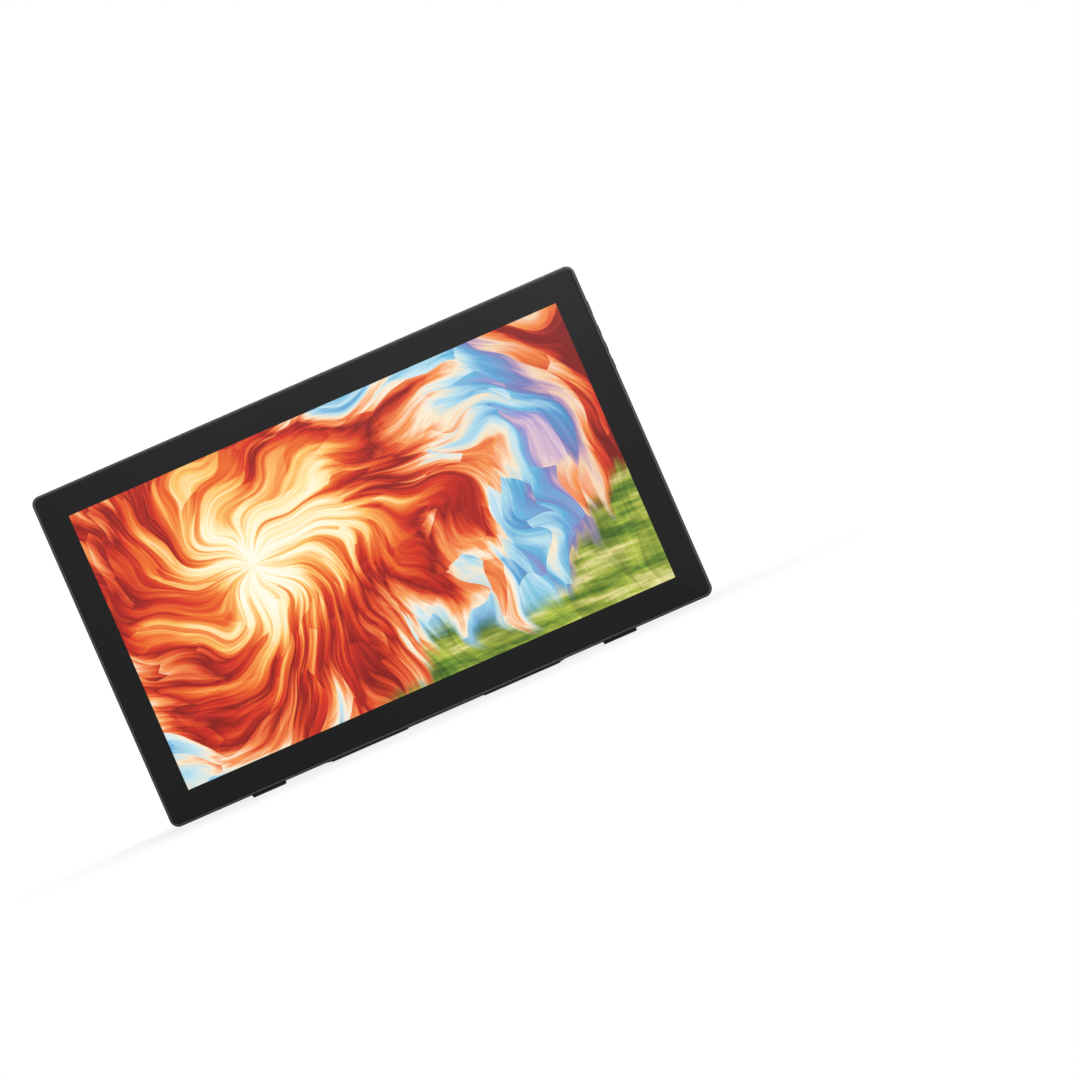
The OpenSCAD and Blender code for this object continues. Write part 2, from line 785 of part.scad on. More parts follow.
// Domed shell with vents, crease lines, sunk screws, side openings and the holes for the stand
module rear_cover() {
    boss_low = chassis_back + seat;
    crease_from = vent_len / 2 + slip;
    color("#454547") placed() difference() {
        union() {
            difference() {
                dome(0);
                dome(cover_wall);
            }
            for (p = screw_points) {
                rod_y(p[0], p[1], boss_low, seam_y + seat, post_r);
                intersection() {
                    rod_y(p[0], p[1], seam_y, tablet_t, post_r);
                    dome(cover_wall / 2);
                }
            }
        }
        for (p = screw_points) {
            seat_y = back_y(p[0], p[1]) - screw_sink;
            rod_y(p[0], p[1], seat_y, tablet_t + over, counterbore_r);
            rod_y(p[0], p[1], boss_low - over, tablet_t, screw_r + slip);
            rod_y(p[0], p[1], boss_low - over, seam_y + 2 * seat, spigot_r + slip);
        }
        for (upper = [true, false])
            slab(tablet_t - cover_wall - over, tablet_t + over) at_vent(upper) vent_outline(slip);
        for (z = [band_low, band_high], s = [-1, 1]) difference() {
            translate([s > 0 ? crease_from : -tablet_w / 2 - over, seam_y + over, z - crease_w / 2])
                cube([tablet_w / 2 - crease_from + over, tablet_t, crease_w]);
            dome(crease_d);
        }
        for (p = mount_points) rod_y(p[0], p[1], bracket_front, tablet_t + over, mount_screw_r + slip);
        for (i = [0, 1]) across(port_x - data_size[2], tablet_w / 2 + over)
            translate([port_z + (i - 1) * port_pitch, port_y + data_size[1] / 2])
                rounded_rect(data_size[0] + 2 * slip, data_size[1] + 2 * slip, data_size[1] / 2);
        across(port_x - video_size[2], tablet_w / 2 + over)
            translate([port_z + port_pitch, port_y + video_size[1] / 2])
                rounded_rect(video_size[0] + 2 * slip, video_size[1] + 2 * slip, 0.9);
        across(key_in, tablet_w / 2 + over) for (i = [0:3]) key_outline(i, slip);
    }
}

module cover_screws() {
    color("#8a8c8e") placed() for (p = screw_points) {
        seat_y = back_y(p[0], p[1]) - screw_sink;
        rod_y(p[0], p[1], seat_y, seat_y + screw_head_h, screw_head_r);
        rod_y(p[0], p[1], ledge_back + 2 * over, seat_y + seat, screw_r);
    }
}

// Section of a rubber foot under the lower edge and up the rolled back, with grip grooves
module foot_profile() {
    front_y = 1.5;
    groove_r = 0.55;
    first = 4;
    r = roll_r(bottom_roll);
    center = [bottom_roll, tablet_t + crest_lift - r];
    pitch = (foot_rise - 1.5 * first) / (foot_grooves - 1);
    difference() {
        intersection() {
            span([-foot_drop, front_y], [foot_rise, tablet_t + over]);
            translate(center) circle(r + foot_skin);
        }
        intersection() {
            span([-seat, -over], [tablet_h, tablet_t + over]);
            translate(center) circle(r + seat);
        }
        for (i = [0:foot_grooves - 1]) {
            z = first + i * pitch;
            translate([z, center[1] + sqrt(pow(r + foot_skin, 2) - pow(bottom_roll - z, 2))]) circle(groove_r);
        }
    }
}

module foot(side) {
    corner = 5;
    color("#262626") placed() intersection() {
        across(side * foot_x - foot_w / 2, side * foot_x + foot_w / 2) foot_profile();
        slab(0, tablet_t + over) translate([side * foot_x, foot_rise / 2 - corner])
            rounded_rect(foot_w, foot_rise + 2 * corner, corner);
    }
}

module foot_left() {
    foot(-1);
}

module foot_right() {
    foot(1);
}

// Steel plate behind the cover with four threaded bosses for the stand's screws
module stand_bracket() {
    half = mount_pitch / 2 + 11;
    rail = 22;
    color("#8e9092") placed() difference() {
        union() {
            slab(bracket_front, bracket_back) translate([0, hinge_z]) difference() {
                rounded_rect(2 * half, 2 * half, 6);
                rounded_rect(2 * (half - rail), 2 * (half - rail), 4);
            }
            for (p = mount_points) rod_y(p[0], p[1], bracket_front - nut_h, bracket_back - seat, 4.5);
        }
        for (p = mount_points)
            rod_y(p[0], p[1], bracket_front - nut_h - over, tablet_t, mount_screw_r + seat);
    }
}

// Plate on the back with two ears for the hinge bushes, open under the lever
module mount_plate() {
    lug = [6, 2.6];
    lug_x = coil_x + spring_turns * coil_step;
    lug_z = hinge_z - tang_down + 4;
    color("#3a3a3c") placed() difference() {
        union() {
            slab(tablet_t, mount_back) difference() {
                translate([0, (mount_low + mount_high) / 2])
                    rounded_rect(2 * mount_half, mount_high - mount_low, 6);
                span([-notch_half - 2 * housing_wall, notch_low + 8],
                    [notch_half + 2 * housing_wall, mount_high + over]);
            }
            for (s = [-1, 1]) across(s > 0 ? ear_x : -mount_half, s > 0 ? mount_half : -ear_x) {
                translate([hinge_z, hinge_y]) circle(ear_r);
                span([hinge_z - ear_r, mount_back - seat], [hinge_z + ear_r, hinge_y]);
            }
            translate([lug_x - lug[0] / 2, mount_back - seat, lug_z - lug[1] / 2])
                cube([lug[0], hinge_y - coil_r - spring_wire / 2 - seat - mount_back, lug[1]]);
        }
        rod_x(-mount_half - over, mount_half + over, bush_r);
        for (p = mount_points) rod_y(p[0], p[1], tablet_t - over, mount_back + over, mount_screw_r + slip);
    }
}

module mount_screws() {
    color("#77797b") placed() for (p = mount_points) {
        seat_y = p[1] > hinge_z ? mount_seat : mount_back;
        rod_y(p[0], p[1], seat_y, seat_y + mount_head_h, mount_head_r);
        rod_y(p[0], p[1], bracket_front - nut_h, seat_y + seat, mount_screw_r);
    }
}

// Section of the housing: flat block, wide crest and small nose at the lower edge
module housing_profile(inset) {
    r = crest_r - inset;
    nose = nose_r - inset;
    low = barrel_low + inset;
    nose_z = barrel_low + nose_r;
    nose_y = crest_cy + sqrt(pow(crest_r - nose_r, 2) - pow(crest_z - nose_z, 2));
    meet_z = crest_z + (nose_z - crest_z) * r / (crest_r - nose_r);
    intersection() {
        translate([crest_z, crest_cy]) circle(r);
        span([meet_z, tablet_t], [flank_z, tablet_t + crest_r]);
    }
    intersection() {
        translate([nose_z, nose_y]) circle(nose);
        span([low, tablet_t], [nose_z + nose, tablet_t + crest_r]);
    }
    span([low, tablet_t], [nose_z, nose_y]);
    span([flank_z - over, tablet_t], [band_high - inset, block_y - inset]);
}

// Notch round the lever's tongue: straight sides that bow in to the tongue at the lower end
module notch(grow, low) {
    bow = notch_bow + grow;
    half = notch_half + grow;
    span([-half, notch_straight], [half, band_high + over]);
    intersection() {
        span([-half, low], [half, notch_straight + over]);
        translate([half - bow, notch_straight]) circle(bow);
        translate([bow - half, notch_straight]) circle(bow);
    }
}

module housing_plan(inset) {
    half = housing_half - inset;
    low = barrel_low - over;
    high = band_high - inset;
    r = housing_corner - inset;
    span([-half, low], [half, high - r]);
    span([r - half, low], [half - r, high]);
    for (s = [-1, 1]) translate([s * (half - r), high - r]) circle(r);
}

// Moulded housing over the hinge, open towards the tablet
module hinge_housing() {
    wall = housing_wall;
    tube_r = mount_head_r + 0.7 + wall;
    color("#484848") placed() difference() {
        intersection() {
            across(-housing_half, housing_half) housing_profile(0);
            slab(tablet_t, tablet_t + crest_r) housing_plan(0);
        }
        difference() {
            intersection() {
                across(-housing_half, housing_half) housing_profile(wall);
                slab(tablet_t - over, tablet_t + crest_r) housing_plan(wall);
            }
            slab(tablet_t - over, block_y) notch(wall, flank_z + wall);
            for (s = [-1, 1]) rod_y(s * mount_pitch / 2, hinge_z + mount_pitch / 2, mount_back, block_y, tube_r);
        }
        slab(tablet_t - over, tablet_t + crest_r) notch(0, notch_low);
        slab(tablet_t - over, mount_back + slip) span([-mount_half - slip, mount_low], [mount_half + slip, mount_high]);
        for (s = [-1, 1]) {
            rod_y(s * mount_pitch / 2, hinge_z + mount_pitch / 2, mount_seat, block_y + over, mount_head_r + 0.7);
            rod_y(s * mount_pitch / 2, hinge_z + mount_pitch / 2, tablet_t, block_y, mount_screw_r + slip);
        }
        rod_x(-housing_half - over, housing_half + over, bush_r + slip);
    }
}

module shaft_bushes() {
    color("#b08a4e") placed() for (s = [-1, 1]) difference() {
        rod_x(s > 0 ? ear_x : -housing_half, s > 0 ? housing_half : -ear_x, bush_r - seat);
        rod_x(-housing_half - over, housing_half + over, shaft_r + run_fit);
    }
}

// Points of the lock spring's wire: upper tang, coil round the shaft, lower tang
function coil_point(a) = [
    coil_x + coil_step * a / 360,
    hinge_y - coil_r * cos(a),
    hinge_z - coil_r * sin(a)];
spring_path = concat(
    [coil_point(0) + [0, 0, tang_up]],
    [for (i = [0:coil_rings * spring_turns]) coil_point(360 * i / coil_rings)],
    [coil_point(360 * spring_turns) - [0, 0, tang_down]]);

// Tube along a path that stays nearly square to the x axis
module wire(path, r, sides) {
    last = len(path) - 1;
    rings = [for (i = [0:last])
        let (t = path[min(i + 1, last)] - path[max(i - 1, 0)],
            along = t / norm(t),
            flat = [1, 0, 0] - along * along[0],
            u = flat / norm(flat),
            v = cross(along, u))
        for (k = [0:sides - 1]) path[i] + r * (cos(360 * k / sides) * u + sin(360 * k / sides) * v)];
    walls = [for (i = [0:last - 1], k = [0:sides - 1])
        let (a = i * sides + k, b = i * sides + (k + 1) % sides)
        each [[a, a + sides, b], [b, a + sides, b + sides]]];
    ends = concat(
        [for (k = [1:sides - 2]) [0, k, k + 1]],
        [for (k = [1:sides - 2]) [last * sides, last * sides + k + 1, last * sides + k]]);
    polyhedron(rings, concat(walls, ends));
}

module lock_spring() {
    color("#9c9ea0") placed() wire(spring_path, spring_wire / 2, 6);
}

// One half of the leg seen from behind, folded: arm, spread, foot bar and window
module leg_half() {
    reach = bar_corner_x + bar_corner;
    top = hinge_z + eye_r;
    bar_meet = bar_corner_z + bar_corner * (arm_arc_z - bar_corner_z) / (arm_arc_r + bar_corner);
    difference() {
        union() {
            difference() {
                span([-over, bar_low], [reach, top]);
                translate([arc_x, arm_arc_z]) circle(arm_arc_r);
                span([arm_out, arm_arc_z], [reach + over, top + over]);
                span([bar_corner_x, bar_low - over], [reach + over, bar_meet]);
            }
            translate([bar_corner_x, bar_corner_z]) circle(bar_corner);
        }
        span([-2 * over, ridge_z], [arm_in, top + over]);
        window_half();
    }
}

module window_half() {
    meet = window_corner_z
        + window_corner * (arm_arc_z - window_corner_z) / (window_arc_r + window_corner);
    difference() {
        span([-2 * over, foot_bar_top], [arc_x, window_top]);
        translate([arc_x, arm_arc_z]) circle(window_arc_r);
        span([window_corner_x, foot_bar_top - over], [arc_x, meet]);
    }
    translate([window_corner_x, window_corner_z]) circle(window_corner);
}

// Section of an arm: round eye, tapering back to an even plate
module arm_profile() {
    translate([hinge_z, hinge_y]) circle(eye_r);
    polygon([[hinge_z, leg_back], [bar_low, leg_back], [bar_low, leg_in], [hinge_z - taper_len, leg_in],
        [hinge_z, hinge_y - eye_r]]);
}

// Recessed lip of the crossbar that reaches under the barrel
module lip_profile() {
    polygon([[window_top, leg_in], [ridge_z, lip_in], [lip_top, lip_in], [lip_top, lip_back],
        [ridge_z, lip_back], [window_top, leg_in + over]]);
}

// One pad seen from below
module pad_plan(grow) {
    translate([0, pad_in + pad_w / 2]) rounded_rect(pad_len + 2 * grow, pad_w + 2 * grow, pad_w / 2 - 0.5 + grow);
}

module stand_leg() {
    cap_r = shaft_r + 3;
    cap_t = 2.5;
    side = leg_back - eye_r - over;
    color("#424242") opened() difference() {
        union() {
            intersection() {
                slab(hinge_y - eye_r, leg_back) {
                    leg_half();
                    mirror([1, 0]) leg_half();
                }
                across(-arc_x, arc_x) arm_profile();
            }
            across(-arm_in - over, arm_in + over) lip_profile();
        }
        rod_x(-arm_out - over, arm_out + over, shaft_r + run_fit);
        for (s = [-1, 1]) rod_x(s > 0 ? arm_out - cap_t : -arm_out - over, s > 0 ? arm_out + over : cap_t - arm_out,
            cap_r + run_fit);
        for (s = [-1, 1]) translate([s * pad_x, 0, bar_low - over]) linear_extrude(pad_t - pad_proud + over)
            pad_plan(slip);
    }
}

module hinge_shaft() {
    cap_t = 2.5;
    color("#a2a4a6") opened() rod_x(cap_t + seat - arm_out, arm_out - cap_t - seat, shaft_r);
}

// Washers that fill the gap between housing and arms
module shaft_spacers() {
    color("#2a2a2c") opened() for (s = [-1, 1]) difference() {
        rod_x(s > 0 ? housing_half + slip : seat - arm_in, s > 0 ? arm_in - seat : -housing_half - slip, bush_r + 1.5);
        rod_x(-arm_in - over, arm_in + over, shaft_r + run_fit);
    }
}

module shaft_caps() {
    cap_t = 2.5;
    cap_r = shaft_r + 3;
    color("#3a3a3a") opened() for (s = [-1, 1])
        rod_x(s > 0 ? arm_out - cap_t : -arm_out, s > 0 ? arm_out : cap_t - arm_out, cap_r);
}

module leg_pads() {
    color("#1e1e1e") opened() for (s = [-1, 1])
        translate([s * pad_x, 0, -leg_drop]) linear_extrude(pad_t) pad_plan(0);
}

// Section of the lever: arm from the hub, sloping tongue, valley and paddle curling outwards
module lever_profile() {
    arm_low = hinge_y - 6.5;
    translate([hinge_z, hinge_y]) circle(hub_r);
    polygon([[hinge_z, arm_low], [hinge_z, arm_top_y], [root_z - swing_gap, arm_top_y], [root_z, arm_top_y],
        [root_z, root_y], [valley_z, valley_y], [valley_z, valley_y - paddle_t],
        [root_z + over, root_y - 2 * tongue_t]]);
    difference() {
        intersection() {
            translate([valley_z, valley_y + paddle_r]) circle(paddle_r + paddle_t);
            span([valley_z - seat, tablet_t], [tip_z + over, valley_y + paddle_r]);
        }
        translate([valley_z, valley_y + paddle_r]) circle(paddle_r);
    }
}

// Outline of the lever from behind: hub, tongue, and a paddle that widens to its curved tip
module lever_plan() {
    side_x = neck_half + neck_bow;
    inner_r = tip_r - paddle_corner;
    outer_r = neck_bow + paddle_corner;
    gap = norm([side_x, tip_cz - valley_z]);
    along = (pow(inner_r, 2) - pow(outer_r, 2) + pow(gap, 2)) / (2 * gap);
    aside = sqrt(pow(inner_r, 2) - pow(along, 2));
    to_side = [side_x, valley_z - tip_cz] / gap;
    corner = [0, tip_cz] + along * to_side + aside * [-to_side[1], to_side[0]];
    span([-hub_half, hinge_z - hub_r], [hub_half, root_z]);
    span([-tongue_half + swing_gap, hinge_z + hub_r], [tongue_half - swing_gap, valley_z]);
    intersection() {
        translate([0, tip_cz]) circle(tip_r);
        union() for (s = [-1, 1]) mirror([s > 0 ? 0 : 1, 0]) {
            difference() {
                span([-seat, valley_z - seat], [corner[0], tip_z]);
                translate([side_x, valley_z]) circle(neck_bow);
            }
            translate(corner) circle(paddle_corner);
        }
    }
}

module release_lever() {
    color("#3a3a3a") placed() difference() {
        union() {
            intersection() {
                across(-2 * paddle_half, 2 * paddle_half) lever_profile();
                slab(tablet_t, tablet_t + tip_r) lever_plan();
            }
            translate([0, finger_y, finger_z])
                cube([coil_x + spring_wire / 2 + 0.6, finger_h, finger_h]);
        }
        rod_x(-2 * hub_half, 2 * hub_half, shaft_r + run_fit);
        translate([0, dimple_y, dimple_z]) rotate([-dimple_slope, 0, 0])
            translate([0, dimple_major + dimple_minor - dimple_deep, 0])
                rotate_extrude() translate([dimple_major, 0]) circle(dimple_minor);
    }
}

// Outline of a button in z and y: the first is the power button
module key_outline(i, grow) {
    long = i == 0 ? power_len : key_len;
    translate([key_zs[i], key_y])
        rounded_rect(long + 2 * grow, key_w + 2 * grow, key_w / 2 - 0.02 + grow);
}

// Button cap with a flange that keeps it behind the wall
module key_cap(i) {
    rim = 0.6;
    across(key_in, key_in + flange_t) key_outline(i, rim);
    across(key_in + flange_t - seat, tablet_w / 2 + key_proud) key_outline(i, 0);
}

module power_button() {
    color("#2c2c2e") placed() key_cap(0);
}

module menu_key() {
    color("#2c2c2e") placed() key_cap(1);
}

module plus_key() {
    color("#2c2c2e") placed() key_cap(2);
}

module minus_key() {
    color("#2c2c2e") placed() key_cap(3);
}

cover_glass();
glass_tape();
front_frame();
lcd_cell();
diffuser_sheet();
light_guide();
led_bar();
backlight_tray();
sensor_board();
shield_plate();
chassis_plate();
main_board();
digitizer_board();
io_board();
data_sockets();
video_socket();
key_board();
key_switches();
panel_cable();
sensor_cable();
rear_cover();
upper_vent_grille();
lower_vent_grille();
cover_screws();
foot_left();
foot_right();
stand_bracket();
mount_plate();
mount_screws();
hinge_housing();
shaft_bushes();
lock_spring();
stand_leg();
hinge_shaft();
shaft_spacers();
shaft_caps();
leg_pads();
release_lever();
power_button();
menu_key();
plus_key();
minus_key();
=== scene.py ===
import math

import bmesh
import bpy
import numpy as np
from mathutils import Matrix, Vector


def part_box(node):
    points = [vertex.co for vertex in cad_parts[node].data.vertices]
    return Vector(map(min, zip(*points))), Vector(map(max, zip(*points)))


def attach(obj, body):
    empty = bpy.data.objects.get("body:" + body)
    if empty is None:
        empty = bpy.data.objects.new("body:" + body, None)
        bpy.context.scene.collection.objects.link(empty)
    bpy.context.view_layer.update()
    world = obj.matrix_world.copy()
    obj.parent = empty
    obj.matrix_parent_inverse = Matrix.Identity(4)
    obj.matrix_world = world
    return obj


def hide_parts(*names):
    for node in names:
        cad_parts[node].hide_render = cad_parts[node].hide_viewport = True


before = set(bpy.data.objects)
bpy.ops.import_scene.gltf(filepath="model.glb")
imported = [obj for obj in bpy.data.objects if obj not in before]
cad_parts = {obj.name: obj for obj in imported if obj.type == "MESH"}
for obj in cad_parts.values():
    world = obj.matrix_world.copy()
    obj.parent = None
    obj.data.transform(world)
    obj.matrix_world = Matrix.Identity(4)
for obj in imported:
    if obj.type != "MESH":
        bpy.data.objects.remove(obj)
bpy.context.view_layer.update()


# Cover glass: one sheet of etched glass over the whole front, bonded to the display cell.
# Its back is printed black round the picture, so the lit picture and the border lie in one plane.
# The sheet drops into the frame's rim and is held by tape on the frame's ledge.

class Value:
    """A number that a shader works out. Sums, products and comparisons of it add Math nodes."""

    def __init__(self, finish, socket):
        self.finish = finish
        self.socket = socket

    def math(self, operation, *others):
        return self.finish.node("ShaderNodeMath", {"operation": operation}, dict(enumerate((self, *others))))

    def reflected(self, operation, other):
        return self.finish.node("ShaderNodeMath", {"operation": operation}, {0: other, 1: self})

    def __add__(self, other):
        return self.math("ADD", other)

    def __sub__(self, other):
        return self.math("SUBTRACT", other)

    def __mul__(self, other):
        return self.math("MULTIPLY", other)

    def __truediv__(self, other):
        return self.math("DIVIDE", other)

    def __rsub__(self, other):
        return self.reflected("SUBTRACT", other)

    def __rtruediv__(self, other):
        return self.reflected("DIVIDE", other)

    __radd__ = __add__
    __rmul__ = __mul__

    def __abs__(self):
        return self.math("ABSOLUTE")

    def __lt__(self, other):
        return self.math("LESS_THAN", other)

    def __gt__(self, other):
        return self.math("GREATER_THAN", other)

    def ramp(self, low, high):
        """0 below low, 1 above high, and a soft step between them."""
        return self.finish.node("ShaderNodeMapRange", {"interpolation_type": "SMOOTHSTEP"},
                                {0: self, 1: low, 2: high, 3: 0.0, 4: 1.0})


class Finish:
    """A material or a world: fixed values on its shader's own sockets, and nodes for what varies."""

    def __init__(self, owner, **fixed):
        owner.use_nodes = True
        self.owner = owner
        self.tree = owner.node_tree
        self.output = next(node for node in self.tree.nodes if node.type.startswith("OUTPUT"))
        self.shader = self.output.inputs["Surface"].links[0].from_node
        self.give(**fixed)

    def node(self, kind, settings=None, sockets=None, out=0):
        """Adds a node, sets it up, then fills or links its sockets, and gives one of its outputs."""
        made = self.tree.nodes.new(kind)
        for name, setting in (settings or {}).items():
            if name == "stops":
                points = made.color_ramp.elements
                for _ in range(len(setting) - 2):
                    points.new(0.5)
                for point, (place, colour) in zip(points, setting):
                    point.position = place
                    point.color = colour
            else:
                setattr(made, name, setting)
        for name, value in (sockets or {}).items():
            self.feed(made.inputs[name], value)
        return Value(self, made.outputs[out])

    def feed(self, socket, value):
        if isinstance(value, Value):
            self.tree.links.new(value.socket, socket)
        else:
            socket.default_value = value

    def give(self, **sockets):
        for name, value in sockets.items():
            self.feed(self.shader.inputs[name.replace("_", " ")], value)

    def given(self, name):
        """What a socket of the shader is fed with so far."""
        return Value(self, self.shader.inputs[name].links[0].from_socket)

    def place(self):
        return self.node("ShaderNodeTexCoord", out="Object")

    def beside(self, value, *names):
        """Other outputs of the node that gave a value."""
        return [Value(self, value.socket.node.outputs[name]) for name in names]

    def axes(self, vector):
        return self.beside(self.node("ShaderNodeSeparateXYZ", sockets={0: vector}), 0, 1, 2)

    def join(self, x, y, z):
        return self.node("ShaderNodeCombineXYZ", sockets={0: x, 1: y, 2: z})

    def noise(self, vector, scale, detail=3.0, rough=0.5):
        return self.node("ShaderNodeTexNoise",
                         sockets={"Vector": vector, "Scale": scale, "Detail": detail, "Roughness": rough})

    def mix(self, share, first, second, how="MIX"):
        return self.node("ShaderNodeMix", {"data_type": "RGBA", "blend_type": how},
                         {0: share, 6: first, 7: second}, out=2)

    def bump(self, height, depth, strength=1.0, over=None):
        sockets = {"Height": height, "Distance": depth, "Strength": strength}
        if over is not None:
            sockets["Normal"] = over
        return self.node("ShaderNodeBump", sockets=sockets)


def paint(name, **fixed):
    return Finish(bpy.data.materials.new(name), **fixed)


def tint(code):
    """A colour written as six hex digits, as the shader's linear numbers."""
    parts = np.array([int(code[i:i + 2], 16) for i in (0, 2, 4)]) / 255
    linear = np.where(parts <= 0.04045, parts / 12.92, ((parts + 0.055) / 1.055) ** 2.4)
    return (*linear.tolist(), 1.0)


def outline(width, height, radius, steps=10):
    """Points round a rounded rectangle about its middle: four quarter circles joined by straight sides."""
    corner = np.repeat(np.arange(4), steps)
    angle = np.tile(np.linspace(0, math.pi / 2, steps), 4) + corner * math.pi / 2
    side = np.array([1, -1, -1, 1])[corner]
    rise = np.array([1, 1, -1, -1])[corner]
    return np.stack([side * (width / 2 - radius) + radius * np.cos(angle),
                     rise * (height / 2 - radius) + radius * np.sin(angle)], -1)


def stack(rings, depths):
    """Rings drawn in x and z, each set at its own depth y, as rows of one grid."""
    rows = [np.insert(ring, 1, depth, axis=1) for ring, depth in zip(rings, depths)]
    return np.stack(rows)


def skin(grid, closed=True, first=True, last=True):
    """Faces between neighbouring points of a grid. Rows may close on themselves, and end rows be filled."""
    rows, columns = grid.shape[:2]
    row = np.arange(rows - 1)[:, None] * columns
    column = np.arange(columns if closed else columns - 1)[None, :]
    beside = (column + 1) % columns
    corners = np.broadcast_arrays(row + column, row + columns + column, row + columns + beside, row + beside)
    caps = []
    if first:
        caps.append(np.arange(columns))
    if last:
        caps.append(np.arange(rows * columns - 1, (rows - 1) * columns - 1, -1))
    return grid.reshape(-1, 3), np.stack(corners, -1).reshape(-1, 4), caps


def finish_piece(name, mesh, body, nodes, finish, crease):
    """Shades a mesh smooth up to a crease angle, and hands it to the frame in place of some CAD nodes."""
    mesh.shade_smooth()
    mesh.set_sharp_from_angle(angle=math.radians(crease))
    mesh.materials.clear()
    mesh.materials.append(finish.owner)
    piece = bpy.data.objects.new(name, mesh)
    bpy.context.scene.collection.objects.link(piece)
    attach(piece, body)
    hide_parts(*nodes)


def make(name, body, nodes, skins, finish, crease=35):
    """Joins skins, drawn in millimetres of the tablet, into one closed piece whose faces point outwards."""
    starts = np.cumsum([0] + [len(points) for points, _, _ in skins])
    points = (np.concatenate([points for points, _, _ in skins]) + tablet_corner) / 1000
    faces = np.concatenate([quads + start for (_, quads, _), start in zip(skins, starts)]).tolist()
    faces += [(cap + start).tolist() for (_, _, caps), start in zip(skins, starts) for cap in caps]
    mesh = bpy.data.meshes.new(name)
    mesh.from_pydata(points.tolist(), [], faces)
    work = bmesh.new()
    work.from_mesh(mesh)
    bmesh.ops.remove_doubles(work, verts=work.verts, dist=2e-6)
    bmesh.ops.dissolve_degenerate(work, edges=work.edges, dist=1e-7)
    bmesh.ops.recalc_face_normals(work, faces=work.faces)
    if work.calc_volume(signed=True) < 0:
        bmesh.ops.reverse_faces(work, faces=work.faces)
    work.to_mesh(mesh)
    work.free()
    finish_piece(name, mesh, body, nodes, finish, crease)


def soft_edge(radius, steps=5):
    """Inset and depth along a quarter circle from a flat face (inset radius) to a side (depth radius)."""
    turn = np.linspace(0, math.pi / 2, steps)
    return radius * (1 - np.sin(turn)), radius * (1 - np.cos(turn))


tablet_corner = np.array([0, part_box("cover_glass")[0].y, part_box("front_frame")[0].z]) * 1000
tablet_w, tablet_h = 586.0, 357.0
middle_z = tablet_h / 2
glass_w, glass_h, glass_t = 580.0, 351.0, 2.0
glass_corner, glass_edge = 6.0, 0.5
picture_w, picture_h = 526.8, 296.4


def glass_sheet():
    """The rounded outline carried from the front face round a polished edge to the back face."""
    inset, depth = soft_edge(glass_edge)
    insets = np.append(inset, 0)
    depths = np.append(depth, glass_t)
    rings = [outline(glass_w - 2 * i, glass_h - 2 * i, glass_corner - i) + [0, middle_z] for i in insets]
    return skin(stack(rings, depths))


